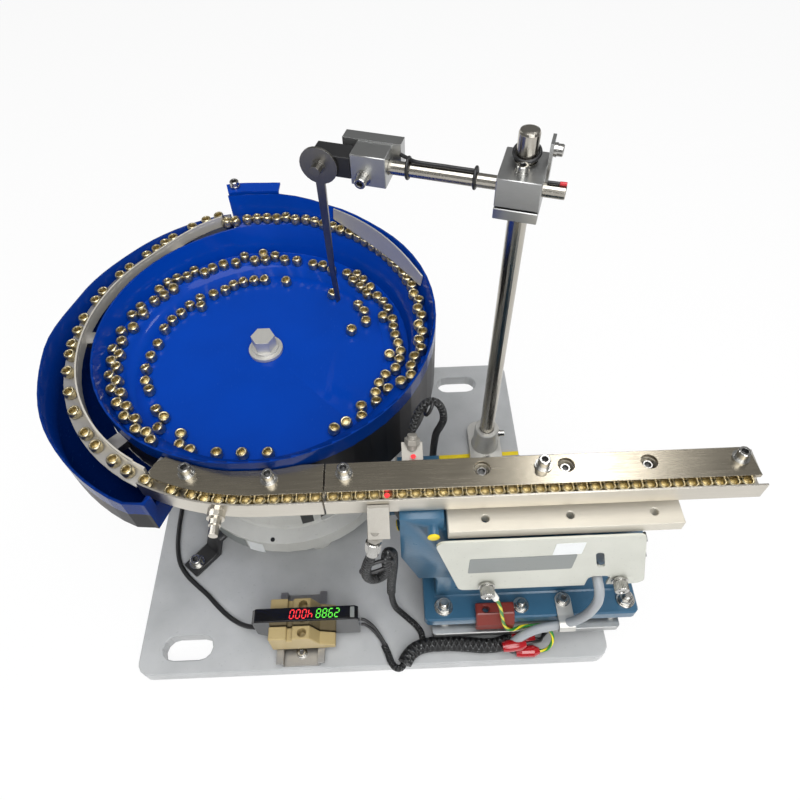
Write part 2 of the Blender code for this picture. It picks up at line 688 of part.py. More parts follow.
def build_bowl(paint, joint):
    """The spiral bowl. Its last section lies in the plane of its first, one ledge further out."""
    mesh = bmesh.new()
    hub = {"top": (0, floor_z(HUB_RADIUS)), "hub": (HUB_RADIUS, floor_z(HUB_RADIUS))}
    under = {"under": (0, BOWL_BASE_Z + BOWL_RECESS)}
    turn = LEDGE_END - 360
    angles = [turn + STATION_STEP * i for i in range(360 // STATION_STEP + 1)]
    first = bowl_station(turn)
    sections = [{**hub, **bowl_station(angle), **under} for angle in angles]
    seam = dict(sections[-1])
    # The start of the ledge's second turn is met again at the seam, so its points are shared.
    last = {"top": seam.pop("top"), "hub": seam.pop("hub")}
    for name in ("low_foot", "low_in", "low_out"):
        last["start_" + name] = first[name]
    for name, point in seam.items():
        last[name] = point
        if name == "high_in":
            last["cross_top"] = (first["wall_out"][0], seam["high_in"][1])
        if name == "base_out":
            last["cross_base"] = (first["wall_out"][0], BOWL_BASE_Z)
    sections[-1] = last
    made = []
    for angle, section in zip(angles, sections):
        made.append({name: mesh.verts.new(polar(r, angle, z)) for name, (r, z) in section.items()})
    for left, right in zip(made, made[1:]):
        names = list(right)
        shared = [name for name in names if name in left]
        for start, stop in zip(shared, shared[1:]):
            between = names[names.index(start):names.index(stop) + 1]
            mesh.faces.new([left[start], *[right[name] for name in between], left[stop]])
    end = [made[-1][name] for name in ("cross_top", "high_out", "wall_foot", "wall_in", "wall_out", "base_out")]
    mesh.faces.new([*end, made[-1]["cross_base"]])
    return solid("bowl", mesh, paint, joint)


def build_pan(paint, joint):
    """Sheet pan round the bowl's left side, which catches what falls from the rails."""
    floor = BOWL_BASE_Z + PAN_RISE
    rim = BOWL_BASE_Z + PAN_RIM_RISE
    angles = [PAN_START + (PAN_END - 1 - PAN_START) * i / 36 for i in range(37)]
    rings = []
    for i, angle in enumerate([*angles, PAN_END - 0.98, PAN_END]):
        inner = rim_radius(angle) + GAP
        outer = pan_radius(angle)
        if i > 36:
            level = RAIL_BOTTOM_Z - 2 * GAP
            corner = ((outer - PAN_GROOVE_ROOM + GAP, rim), (outer - PAN_GROOVE_ROOM, level))
        else:
            level = floor + PAN_SHEET
            corner = ((outer - PAN_SHEET, level), (outer - PAN_GROOVE_ROOM, level))
        section = (
            (inner, floor), (outer, floor), (outer, rim), (outer - PAN_SHEET, rim), *corner, (inner, level),
        )  # fmt: skip
        rings.append([polar(r, angle, z) for r, z in section])
    mesh = bmesh.new()
    sweep(mesh, rings)
    return solid("return_pan", mesh, paint, joint)


# Groove round the bowl


def rail_radius(angle):
    share = (angle - RAIL_START) / (RAIL_END - RAIL_START)
    return RAIL_RADIUS_START + (RAIL_RADIUS_END - RAIL_RADIUS_START) * share


def rail_z(angle):
    """Top of the rail strip: it leaves the ledge and drops to the groove's floor."""
    share = min(1, (angle - RAIL_START) / RAIL_DROP_ANGLE)
    ease = share * share * (3 - 2 * share)
    return ledge_z(LEDGE_END) + (GROOVE_FLOOR_Z - ledge_z(LEDGE_END)) * ease


def build_rails(paint, joint):
    rings = []
    count = 30
    for i in range(count + 1):
        angle = RAIL_START + (RAIL_END - RAIL_START) * i / count
        middle, top = rail_radius(angle), rail_z(angle)
        inner, outer = middle - RAIL_STRIP / 2, middle + RAIL_STRIP / 2
        section = (
            (inner - RAIL_SHEET, top - RAIL_SHEET), (outer, top - RAIL_SHEET), (outer, top), (inner, top),
            (inner, top + RAIL_FENCE), (inner - RAIL_SHEET, top + RAIL_FENCE),
        )  # fmt: skip
        rings.append([polar(r, angle, z) for r, z in section])
    mesh = bmesh.new()
    sweep(mesh, rings)
    node = solid("discharge_rails", mesh, paint, joint)
    stubs = bmesh.new()
    for angle in RAIL_BRACKET_ANGLES:
        high = min(rail_z(angle - 3), rail_z(angle + 3)) - RAIL_SHEET + SEAT_SINK
        stub = []
        for side in (-2.5, 2.5):
            near = rim_radius(angle + side) + GAP
            far = rail_radius(angle) + RAIL_STRIP / 2 - 1 * MM
            stub.append([polar(r, angle + side, z) for r, z in
                         ((near, high - 6 * MM), (far, high - 2 * MM), (far, high), (near, high))])  # fmt: skip
        sweep(stubs, stub)
    return boolean(node, stubs, "UNION")


def groove_path():
    """Stations of the groove from the rails to the joint: point and direction towards the bowl."""
    stations = []
    centre = Vector((BEND_X, TRACK_Y + BEND_RADIUS))
    for i in range(15):
        turn = math.radians(BEND_ANGLE * (1 - i / 14))
        inward = Vector((math.sin(turn), math.cos(turn)))
        stations.append((centre - inward * BEND_RADIUS, inward))
    for i in range(1, 7):
        stations.append((Vector((BEND_X + (JOINT_X - BEND_X) * i / 6, TRACK_Y)), Vector((0, 1))))
    return stations


def back_reach(point, inward, clearance):
    """Distance from the groove's middle to the bowl's wall, or to the back of the track."""
    reach = TRACK_BACK_Y - TRACK_Y
    while reach > 0:
        spot = point + inward * reach
        angle = math.degrees(math.atan2(spot.y, spot.x)) % 360
        if spot.length > rim_radius(angle) + clearance:
            return reach
        reach -= 0.05 * MM
    return reach


def groove_section(reach):
    """Section of the grooved bar: (distance towards the back, height)."""
    half = GROOVE_WIDTH / 2
    return (
        (-half - LIP_THICK, RAIL_BOTTOM_Z), (-half - LIP_THICK, GROOVE_FLOOR_Z + GROOVE_LIP),
        (-half, GROOVE_FLOOR_Z + GROOVE_LIP), (-half, GROOVE_FLOOR_Z), (half, GROOVE_FLOOR_Z), (half, RAIL_TOP_Z),
        (reach, RAIL_TOP_Z), (reach, RAIL_BOTTOM_Z),
    )  # fmt: skip


def build_channel(paint, joint):
    rings = []
    for point, inward in groove_path():
        section = groove_section(back_reach(point, inward, GAP))
        rings.append([(*(point + inward * side), z) for side, z in section])
    mesh = bmesh.new()
    sweep(mesh, rings)
    node = solid("discharge_channel", mesh, paint, joint)
    screw = bmesh.new()
    bend = BEND_RADIUS - math.sqrt(BEND_RADIUS**2 - (BEND_X - ADJUSTER_X) ** 2)
    front = TRACK_Y + bend - GROOVE_WIDTH / 2 - LIP_THICK
    profile = ((0, 0), (5 * MM, 0), (5 * MM, 6 * MM), (3.4 * MM, 6 * MM), (3.4 * MM, 10 * MM), (2.6 * MM, 10 * MM),
               (2.6 * MM, 16 * MM), (0, 16 * MM))  # fmt: skip
    turned(screw, profile, (ADJUSTER_X, front + 0.9 * MM, RAIL_BOTTOM_Z + 5.4 * MM), (0, -1, 0), 12)
    return boolean(node, screw, "UNION")


def build_channel_cover(paint, joint):
    front, back = [], []
    for point, inward in groove_path()[1:]:
        front.append(tuple(point + inward * COVER_OVERHANG))
        back.append(tuple(point + inward * back_reach(point, inward, 2 * GAP)))
    corner_front = Vector(front[0]).lerp(Vector(back[0]), 0.25) + Vector((-2.5 * MM, 0.5 * MM))
    corner_back = Vector(front[0]).lerp(Vector(back[0]), 0.7) + Vector((-3.2 * MM, 0))
    outline = [*front, *reversed(back), tuple(corner_back), tuple(corner_front)]
    mesh = bmesh.new()
    prism(mesh, outline, RAIL_TOP_Z + GAP, COVER_TOP_Z)
    node = solid("channel_cover", mesh, paint, joint)
    screws = bmesh.new()
    for x, y in CHUTE_SCREWS:
        socket_screw(screws, (x, y, COVER_TOP_Z))
    return boolean(node, screws, "UNION")


# Base plate and round drive


def build_base_plate(paint):
    corners = (
        (PLATE_LEFT, PLATE_FRONT), (PLATE_RIGHT, PLATE_FRONT), (PLATE_RIGHT, PLATE_STEP_Y),
        (PLATE_RIGHT - PLATE_STEP, PLATE_STEP_Y), (PLATE_RIGHT - PLATE_STEP, PLATE_BACK), (PLATE_LEFT, PLATE_BACK),
    )  # fmt: skip
    outline = []
    for i, corner in enumerate(corners):
        if i == 3:
            outline.append(corner)
            continue
        trio = (corners[i - 1], corner, corners[(i + 1) % len(corners)])
        outline += rounded(trio, PLATE_CORNER, 4)[5:10]
    mesh = bmesh.new()
    prism(mesh, outline, 0, PLATE_THICK)
    node = solid("base_plate", mesh, paint)
    holes = bmesh.new()
    for centre in (SLOT_FRONT_LEFT, SLOT_BACK_RIGHT, SLOT_BACK_LEFT):
        prism(holes, slot_outline(centre, SLOT_LENGTH, SLOT_WIDTH), -PLATE_THICK, 2 * PLATE_THICK)
    boolean(node, holes, "DIFFERENCE")
    return bevelled(node, 0.8 * MM)


def spring_boxes(low, high):
    """Four radial pockets that the leaf springs stand in."""
    mesh = bmesh.new()
    for angle in SPRING_ANGLES:
        made = block(
            mesh,
            (SPRING_INNER - 2 * MM, -SPRING_POCKET, low),
            (DRIVE_RADIUS + 10 * MM, SPRING_POCKET, high),
        )
        bmesh.ops.rotate(mesh, verts=made, matrix=Matrix.Rotation(math.radians(angle), 3, "Z"))
    return mesh


def build_drive_base(paint):
    waist = DRIVE_BASE_Z + DRIVE_RIM_HEIGHT
    profile = (
        (0, DRIVE_BASE_Z), (DRIVE_RADIUS - 2 * MM, DRIVE_BASE_Z), (DRIVE_RADIUS, DRIVE_BASE_Z + 2 * MM),
        (DRIVE_RADIUS, waist), (DRIVE_WAIST_RADIUS + 1 * MM, waist + 3 * MM), (DRIVE_WAIST_RADIUS, waist + 6 * MM),
        (DRIVE_WAIST_RADIUS, DRIVE_TOP_Z - 2 * MM), (DRIVE_WAIST_RADIUS - 2 * MM, DRIVE_TOP_Z), (0, DRIVE_TOP_Z),
    )  # fmt: skip
    mesh = bmesh.new()
    turned(mesh, profile, steps=40)
    node = solid("drive_base", mesh, paint)
    feet = bmesh.new()
    for angle in DRIVE_FOOT_ANGLES:
        spot = polar(DRIVE_FOOT_CIRCLE, angle, PLATE_TOP + GAP)
        drum(feet, spot, DRIVE_FOOT_RADIUS, DRIVE_FOOT_RISE + SEAT_SINK)
    boolean(node, feet, "UNION")
    boolean(node, spring_boxes(DRIVE_BASE_Z + SPRING_SEAT, DRIVE_TOP_Z + 10 * MM), "DIFFERENCE")
    return node


def build_drive_yoke(paint, joint):
    shoulder = YOKE_SHOULDER_Z
    seat = BOWL_BASE_Z + BOWL_RECESS - GAP
    profile = (
        (0, YOKE_Z - ARMATURE_HEIGHT), (ARMATURE_RADIUS, YOKE_Z - ARMATURE_HEIGHT), (ARMATURE_RADIUS, YOKE_Z),
        (YOKE_RADIUS - 2 * MM, YOKE_Z), (YOKE_RADIUS, YOKE_Z + 2 * MM), (YOKE_RADIUS, shoulder - 3 * MM),
        (YOKE_RADIUS - 3 * MM, shoulder), (YOKE_BOSS_RADIUS, shoulder), (YOKE_BOSS_RADIUS, seat), (0, seat),
    )  # fmt: skip
    mesh = bmesh.new()
    turned(mesh, profile, steps=40)
    node = solid("drive_yoke", mesh, paint, joint)
    boolean(node, spring_boxes(YOKE_Z - 5 * MM, YOKE_Z + SPRING_GRIP), "DIFFERENCE")
    return node


def build_drive_springs(paint):
    """Inclined leaf packs, seated in the base and gripped in the yoke above."""
    low = DRIVE_BASE_Z + SPRING_SEAT + GAP
    high = YOKE_Z + SPRING_GRIP - 0.4 * MM
    lean = SPRING_LEAN * (high - low) / 2
    half = SPRING_THICK / 2
    outline = ((-lean - half, low), (-lean + half, low), (lean + half, high), (lean - half, high))
    for number, angle in enumerate(SPRING_ANGLES, 1):
        mesh = bmesh.new()
        made = prism(mesh, outline, SPRING_INNER, SPRING_INNER + SPRING_WIDTH, "X")
        bmesh.ops.rotate(mesh, verts=made, matrix=Matrix.Rotation(math.radians(angle), 3, "Z"))
        solid(f"drive_spring_{number}", mesh, paint)


def build_drive_coil(paint):
    mesh = bmesh.new()
    drum(mesh, (0, 0, DRIVE_TOP_Z + GAP), COIL_RADIUS, COIL_HEIGHT, sides=32)
    return solid("drive_coil", mesh, paint)


def build_linear_coil(paint):
    mesh = bmesh.new()
    front, back = DRIVE_FRONT + DRIVE_WALL + 6 * MM, DRIVE_BACK - DRIVE_WALL - 6 * MM
    low = CORE_Z - 4 * MM + GAP
    half = LINEAR_COIL_LENGTH / 2
    block(mesh, (COIL_X - half, front, low), (COIL_X + half, back, low + 13 * MM))
    return solid("linear_coil", mesh, paint)


def build_clamps(paint):
    """Arms that hold the round drive down: a step under its rim and a flat run on the plate."""
    inner = DRIVE_RADIUS - 14 * MM
    under = PLATE_TOP + GAP
    step = DRIVE_RADIUS + 3 * MM
    low = DRIVE_BASE_Z - GAP
    outline = (
        (inner, low - CLAMP_THICK), (step, low - CLAMP_THICK), (step + 6 * MM, under), (CLAMP_REACH, under),
        (CLAMP_REACH, under + CLAMP_THICK), (step + 9 * MM, under + CLAMP_THICK), (step + 3 * MM, low), (inner, low),
    )  # fmt: skip
    half = CLAMP_WIDTH / 2
    for number, angle in enumerate(CLAMP_ANGLES, 1):
        mesh = bmesh.new()
        made = prism(mesh, outline, -half, half, "Y")
        bmesh.ops.rotate(mesh, verts=made, matrix=Matrix.Rotation(math.radians(angle), 3, "Z"))
        node = bevelled(solid(f"drive_clamp_{number}", mesh, paint), 1 * MM)
        bolt = bmesh.new()
        seat = polar(CLAMP_REACH - CLAMP_BOLT_IN, angle, under + CLAMP_THICK)
        socket_screw(bolt, seat, head=4.2 * MM, height=6 * MM, washer=6 * MM)
        boolean(node, bolt, "UNION")


# Bowl furniture


def build_centre_bolt(paint, joint):
    """Bolt through the bowl's hub: two washers and a six-sided head."""
    mesh = bmesh.new()
    wide, narrow, head = CENTRE_WASHER, CENTRE_LOCK_WASHER, CENTRE_HEAD
    profile = ((0, 0), (wide, 0), (wide, 2.4 * MM), (narrow, 2.4 * MM), (narrow, 4.4 * MM), (0, 4.4 * MM))
    top = floor_z(HUB_RADIUS) + GAP
    turned(mesh, profile, (0, 0, top))
    node = solid("centre_bolt", mesh, paint, joint)
    crown = bmesh.new()
    drum(crown, (0, 0, top + 4 * MM), head, 10 * MM, sides=6)
    return boolean(node, crown, "UNION")


def build_wiper(paint, joint):
    """Steel blade inside the outer wall that wipes stacked workpieces back down."""
    rings = []
    for i in range(13):
        angle = 376 + 50 * i / 12
        wall = rim_radius(angle) - WALL_THICK - WALL_LEAN - 0.15 * MM
        inset = 7 * MM * math.sin(math.pi * i / 12) ** 0.8
        low = ledge_z(angle) + 7.4 * MM
        high = low + (4 + 9 * math.sin(math.pi * (0.15 + 0.7 * i / 12))) * MM
        lean = WALL_LEAN * (high - low) / (rim_z(angle) - ledge_z(angle))
        section = (
            (wall - inset, low), (wall - inset + 1 * MM, low), (wall - inset + 1 * MM + lean, high),
            (wall - inset + lean, high),
        )  # fmt: skip
        rings.append([polar(r, angle, z) for r, z in section])
    mesh = bmesh.new()
    sweep(mesh, rings)
    return solid("wiper_blade", mesh, paint, joint)


TAB_ANGLE = 96
TAB_WIDTH = 38 * MM


def build_tab(paint, joint):
    """Bent blue tab behind the raised back of the rim."""
    rings = []
    reach = math.degrees(TAB_WIDTH / 2 / (rim_radius(TAB_ANGLE + 360) + 2 * MM))
    for i in range(9):
        angle = TAB_ANGLE + 360 - reach + 2 * reach * i / 8
        near = rim_radius(angle) + GAP
        low = rim_z(angle) - 20 * MM
        high = rim_z(angle) + 2 * MM
        flange = 11 * MM
        section = (
            (near, low), (near + 1.5 * MM, low), (near + 1.5 * MM, high - 1.5 * MM),
            (near + flange, high - 1.5 * MM), (near + flange, high), (near, high),
        )  # fmt: skip
        rings.append([polar(r, angle, z) for r, z in section])
    mesh = bmesh.new()
    sweep(mesh, rings)
    node = solid("tab_plate", mesh, paint, joint)
    screw = bmesh.new()
    angle = TAB_ANGLE + 360 + 6
    spot = polar(rim_radius(angle) + 6.5 * MM, angle, rim_z(angle) + 2 * MM)
    socket_screw(screw, spot, washer=3.8 * MM)
    return boolean(node, screw, "UNION")


# Linear track


def build_track_rail(paint, joint):
    outline = [(TRACK_Y + side, z) for side, z in groove_section(TRACK_BACK_Y - TRACK_Y)]
    mesh = bmesh.new()
    prism(mesh, outline, JOINT_X + JOINT_GAP, TRACK_END_X, "X")
    node = solid("track_rail", mesh, paint, joint)
    holes = bmesh.new()
    for x in COUNTERBORE_X:
        drum(holes, (x, COVER_SCREW_Y, RAIL_TOP_Z - COUNTERBORE_DEPTH), COUNTERBORE, 2 * COUNTERBORE_DEPTH)
    boolean(node, holes, "DIFFERENCE")
    return node


def build_track_cover(paint, joint):
    corners = (
        (JOINT_X + JOINT_GAP, COVER_FRONT_Y), (TRACK_END_X - 1.5 * MM, COVER_FRONT_Y),
        (TRACK_END_X - 3.5 * MM, TRACK_BACK_Y), (JOINT_X + JOINT_GAP, TRACK_BACK_Y),
    )  # fmt: skip
    mesh = bmesh.new()
    prism(mesh, corners, RAIL_TOP_Z + GAP, COVER_TOP_Z)
    node = solid("track_cover", mesh, paint, joint)
    holes = bmesh.new()
    for x in COUNTERBORE_X:
        drum(holes, (x, COVER_SCREW_Y, RAIL_TOP_Z - 2 * MM), COUNTERBORE + 0.3 * MM, COVER_THICK + 5 * MM)
    boolean(node, holes, "DIFFERENCE")
    screws = bmesh.new()
    for x in TRACK_SCREW_X:
        socket_screw(screws, (x, COVER_SCREW_Y, COVER_TOP_Z))
    return boolean(node, screws, "UNION")


def build_track_mount(paint, joint):
    outline = (
        (MOUNT_FRONT, MOUNT_Z), (MOUNT_BACK, MOUNT_Z), (MOUNT_BACK, MOUNT_TOP_Z), (TRACK_BACK_Y, MOUNT_TOP_Z),
        (TRACK_BACK_Y, RAIL_BOTTOM_Z - GAP), (MOUNT_WEB_FRONT, RAIL_BOTTOM_Z - GAP), (MOUNT_WEB_FRONT, MOUNT_TOP_Z),
        (MOUNT_FRONT, MOUNT_TOP_Z),
    )  # fmt: skip
    mesh = bmesh.new()
    prism(mesh, outline, MOUNT_LEFT, MOUNT_RIGHT, "X")
    node = solid("track_mount", mesh, paint, joint)
    holes = bmesh.new()
    for x in MOUNT_HOLES:
        drum(holes, (x, MOUNT_HOLE_Y, MOUNT_Z - 5 * MM), MOUNT_HOLE, MOUNT_THICK + 10 * MM, sides=12)
    boolean(node, holes, "DIFFERENCE")
    return bevelled(node, 0.4 * MM)


# Linear drive


def leaf_x(z, index=0):
    """Middle of a leaf spring at a height: both springs lean the same way."""
    return LEAF_TOP_X + LEAF_SLOPE * (LEAF_TOP_Z - z) + index * LEAF_SPACING


def leaf_side(z, index, side, clearance):
    return leaf_x(z, index) + side * (LEAF_THICK / 2 + clearance)


def build_upper_casting(paint, joint):
    """Casting that carries the track: walls front and back, and a core between the springs."""
    cap_z = UPPER_Z + UPPER_CAP_RISE
    toe_z = UPPER_Z - UPPER_TOE_DROP
    skirt_z = UPPER_Z - UPPER_SKIRT_DROP
    facet_z = UPPER_Z - UPPER_FACET_DROP
    toe_x = UPPER_LEFT + 11 * MM
    cap_x = MOUNT_LEFT - 2 * MM
    skirt_x = UPPER_RIGHT + LEAF_SLOPE * UPPER_SKIRT_DROP
    outline = (
        (UPPER_LEFT, cap_z), (UPPER_LEFT, facet_z), (toe_x, toe_z), (toe_x + 22 * MM, toe_z),
        (toe_x + 22 * MM, skirt_z), (skirt_x, skirt_z), (UPPER_RIGHT, UPPER_Z), (cap_x, UPPER_Z), (cap_x, cap_z),
    )  # fmt: skip
    mesh = bmesh.new()
    prism(mesh, outline, DRIVE_FRONT, DRIVE_BACK, "Y")
    node = solid("linear_yoke", mesh, paint, joint)
    cut = bmesh.new()
    clear = 0.5 * MM
    above = cap_z + 5 * MM
    below = toe_z - 5 * MM
    room = (
        (UPPER_LEFT - 20 * MM, above), (UPPER_LEFT - 20 * MM, below), (skirt_x + 30 * MM, below),
        (skirt_x + 30 * MM, above), (leaf_side(above, 1, -1, clear), above), (leaf_side(CORE_Z, 1, -1, clear), CORE_Z),
        (leaf_side(CORE_Z, 0, 1, clear), CORE_Z), (leaf_side(above, 0, 1, clear), above),
    )  # fmt: skip
    prism(cut, room, DRIVE_FRONT + DRIVE_WALL, DRIVE_BACK - DRIVE_WALL, "Y")
    boolean(node, cut, "DIFFERENCE")
    pocket = bmesh.new()
    half = LINEAR_COIL_LENGTH / 2 + 4 * MM
    front, back = DRIVE_FRONT + DRIVE_WALL + 3 * MM, DRIVE_BACK - DRIVE_WALL - 3 * MM
    block(pocket, (COIL_X - half, front, CORE_Z - 2 * MM), (COIL_X + half, back, CORE_Z + 12 * MM))
    boolean(node, pocket, "DIFFERENCE")
    bevelled(node, 1.5 * MM)
    shanks, heads = bmesh.new(), bmesh.new()
    for index, side in ((0, -1), (1, 1)):
        axis = Vector((side, 0, side * LEAF_SLOPE)).normalized()
        for z in UPPER_SCREW_DROPS:
            for y in LEAF_SCREW_Y:
                inside = Vector((leaf_side(LEAF_TOP_Z - z, index, -side, 3 * MM), y, LEAF_TOP_Z - z))
                reach = LEAF_THICK + 4 * MM + UPPER_HEAD_GAP
                drum(shanks, inside, LEAF_SHANK, reach, axis, 8)
                drum(heads, inside + axis * (reach - 0.7 * MM), 3.8 * MM, 4.4 * MM, axis, 6)
    drum(shanks, (MOUNT_LEFT - 8 * MM, DRIVE_FRONT + 1 * MM, UPPER_Z + 3 * MM), 3.4 * MM, 7 * MM, (0, -1, 0), 12)
    boolean(node, shanks, "UNION")
    return boolean(node, heads, "UNION")


def build_lower_casting(paint):
    """Foot block and body that the leaf springs stand on."""
    mesh = bmesh.new()
    corners = (
        (BLOCK_LEFT, BLOCK_FRONT), (BLOCK_RIGHT, BLOCK_FRONT), (BLOCK_RIGHT, BLOCK_BACK), (BLOCK_LEFT, BLOCK_BACK),
    )  # fmt: skip
    prism(mesh, rounded(corners, 4 * MM), BLOCK_Z, BLOCK_TOP_Z)
    node = solid("linear_base", mesh, paint)
    body = bmesh.new()
    low = BLOCK_TOP_Z - 4 * MM
    high = CORE_Z - 4 * MM
    left_low = leaf_side(LEAF_BOTTOM_Z, 0, 1, GAP)
    right_low = leaf_side(LEAF_BOTTOM_Z, 1, -1, GAP)
    outline = (
        (left_low, low), (right_low, low), (right_low, LEAF_BOTTOM_Z), (leaf_side(high, 1, -1, GAP), high),
        (leaf_side(high, 0, 1, GAP), high), (left_low, LEAF_BOTTOM_Z),
    )  # fmt: skip
    prism(body, outline, DRIVE_FRONT + DRIVE_WALL + 1 * MM, DRIVE_BACK - DRIVE_WALL - 1 * MM, "Y")
    boolean(node, body, "UNION")
    bevelled(node, 1 * MM)
    spacers = bmesh.new()
    for x in (BLOCK_LEFT + 15 * MM, BLOCK_RIGHT - 15 * MM):
        for y in (BLOCK_FRONT + 7 * MM, BLOCK_BACK - 7 * MM):
            drum(spacers, (x, y, RISER_Z + RISER_THICK + GAP), 5.6 * MM, SPACER_HEIGHT + SEAT_SINK, sides=10)
    boolean(node, spacers, "UNION")
    seats = [(x, y, BLOCK_TOP_Z) for x in (BLOCK_LEFT + 14 * MM, BLOCK_RIGHT - 8 * MM)
             for y in (BLOCK_FRONT + 9.5 * MM, BLOCK_BACK - 8 * MM)]  # fmt: skip
    return nuts_and_studs(node, seats, 5.4 * MM, 2.9 * MM, 6.6 * MM, 6 * MM)


def build_linear_springs(paint):
    """Leaf springs with holes round the upper screws and the lower clamp screws joined on."""
    for name, index, side, top in (("left", 0, -1, LEAF_TOP_Z), ("right", 1, 1, UPPER_Z - 2 * GAP)):
        outline = [
            (leaf_side(top, index, -1, 0), top), (leaf_side(top, index, 1, 0), top),
            (leaf_side(LEAF_BOTTOM_Z, index, 1, 0), LEAF_BOTTOM_Z),
            (leaf_side(LEAF_BOTTOM_Z, index, -1, 0), LEAF_BOTTOM_Z),
        ]  # fmt: skip
        mesh = bmesh.new()
        prism(mesh, outline, LEAF_FRONT, LEAF_BACK, "Y")
        node = solid(f"linear_spring_{name}", mesh, paint)
        axis = Vector((side, 0, side * LEAF_SLOPE)).normalized()
        holes, washers, heads = bmesh.new(), bmesh.new(), bmesh.new()
        for y in LEAF_SCREW_Y:
            for drop in UPPER_SCREW_DROPS:
                z = LEAF_TOP_Z - drop
                inside = Vector((leaf_side(z, index, -side, 4 * MM), y, z))
                drum(holes, inside, LEAF_HOLE, LEAF_THICK + 8 * MM, axis, 12)
            for rise in LOWER_SCREW_RISES:
                z = LEAF_BOTTOM_Z + rise
                seat = Vector((leaf_side(z, index, side, -SEAT_SINK), y, z))
                drum(washers, seat, 4.6 * MM, 1.8 * MM, axis, 10)
                drum(heads, seat + axis * 1.2 * MM, 3.6 * MM, 4.6 * MM, axis, 6)
        boolean(node, holes, "DIFFERENCE")
        boolean(node, washers, "UNION")
        boolean(node, heads, "UNION")


def build_riser(paint):
    corners = (
        (RISER_LEFT, RISER_FRONT), (RISER_RIGHT, RISER_FRONT), (RISER_RIGHT, RISER_BACK), (RISER_LEFT, RISER_BACK),
    )  # fmt: skip
    mesh = bmesh.new()
    prism(mesh, rounded(corners, 3 * MM), RISER_Z, RISER_Z + RISER_THICK)
    node = bevelled(solid("riser_plate", mesh, paint), 0.5 * MM)
    feet = bmesh.new()
    for x in (RISER_LEFT + 11 * MM, RISER_RIGHT - 11 * MM):
        for y in (RISER_FRONT + 11 * MM, RISER_BACK - 11 * MM):
            drum(feet, (x, y, PLATE_TOP + GAP), LINEAR_FOOT_RADIUS, RISER_RISE + SEAT_SINK)
    return boolean(node, feet, "UNION")


def build_side_cover(paint):
    corners = (
        (SIDE_TOP_LEFT, SIDE_TOP_Z), (SIDE_TOP_RIGHT, SIDE_TOP_Z), (SIDE_TOP_RIGHT + SIDE_SLANT, SIDE_BOTTOM_Z),
        (SIDE_TOP_LEFT + SIDE_SLANT, SIDE_BOTTOM_Z),
    )  # fmt: skip
    mesh = bmesh.new()
    prism(mesh, rounded(corners, SIDE_CORNER), SIDE_Y - SIDE_SHEET, SIDE_Y, "Y")
    node = solid("side_cover", mesh, paint)
    holes = bmesh.new()
    middle = SIDE_BOTTOM_Z + 38.5 * MM
    slot = [(x + 0.25 * (middle - z), z) for z, x in slot_outline((middle, SIDE_SLOT_X), 21 * MM, 5 * MM)]
    prism(holes, slot, SIDE_Y - 3 * MM, SIDE_Y + 3 * MM, "Y")
    notch = rounded(
        (
            (LEAD_X - 7 * MM, SIDE_BOTTOM_Z - 6 * MM), (LEAD_X + 7 * MM, SIDE_BOTTOM_Z - 6 * MM),
            (LEAD_X + 7 * MM, SIDE_BOTTOM_Z + 14 * MM), (LEAD_X - 7 * MM, SIDE_BOTTOM_Z + 14 * MM),
        ),
        4 * MM,
    )  # fmt: skip
    prism(holes, notch, SIDE_Y - 3 * MM, SIDE_Y + 3 * MM, "Y")
    for x in THUMB_X:
        hole = (x, SIDE_Y - 4 * MM, SIDE_BOTTOM_Z + THUMB_RISE)
        drum(holes, hole, THUMB_SHANK + GAP, 8 * MM, (0, 1, 0), 16)
    return boolean(node, holes, "DIFFERENCE")


def build_thumb_screws(paint):
    """Knurled screws through the cover, each on a post from the lower casting."""
    z = SIDE_BOTTOM_Z + THUMB_RISE
    back = DRIVE_FRONT + DRIVE_WALL + 1 * MM - GAP - SIDE_Y
    skin = SIDE_SHEET + GAP
    for name, x in zip(("left", "right"), THUMB_X):
        profile = (
            (0, -back), (3.4 * MM, -back), (3.4 * MM, -GAP), (THUMB_SHANK, -GAP), (THUMB_SHANK, skin), (2.6 * MM, skin),
            (2.6 * MM, skin + 2 * MM), (THUMB_RADIUS, skin + 2 * MM), (THUMB_RADIUS, skin + 8 * MM),
            (3 * MM, skin + 8 * MM), (3 * MM, skin + 9.5 * MM), (0, skin + 9.5 * MM),
        )  # fmt: skip
        mesh = bmesh.new()
        turned(mesh, profile, (x, SIDE_Y, z), (0, -1, 0), 14)
        solid(f"thumb_screw_{name}", mesh, paint)


CLIP_X = 181 * MM
CLIP_WIDTH = 11 * MM
CLIP_SHEET = 1.2 * MM
CLIP_CABLE = (-154.4 * MM, 36.6 * MM)


def build_clip(paint):
    """Strap that comes down over the edge of the foot block and round the drive's lead."""
    y, z = CLIP_CABLE
    inner = DRIVE_LEAD_DIAMETER / 2 + 0.9 * MM
    outer = inner + CLIP_SHEET
    turns = [math.radians(-300 * i / 18) for i in range(19)]
    around = [(y + inner * math.cos(turn), z + inner * math.sin(turn)) for turn in turns]
    outside = [(y + outer * math.cos(turn), z + outer * math.sin(turn)) for turn in turns]
    flat = BLOCK_TOP_Z + GAP
    edge = BLOCK_FRONT - 2 * GAP
    strap = ((edge, flat), (BLOCK_FRONT + 16 * MM, flat), (BLOCK_FRONT + 16 * MM, flat + CLIP_SHEET),
             (edge - CLIP_SHEET, flat + CLIP_SHEET))  # fmt: skip
    mesh = bmesh.new()
    prism(mesh, [*strap, *around, *reversed(outside)], CLIP_X - CLIP_WIDTH / 2, CLIP_X + CLIP_WIDTH / 2, "X")
    return solid("cable_clip", mesh, paint)


LUG_BRACKET_LEFT = 138 * MM
LUG_BRACKET_LENGTH = 27 * MM
LUG_HOLE_IN = 7 * MM


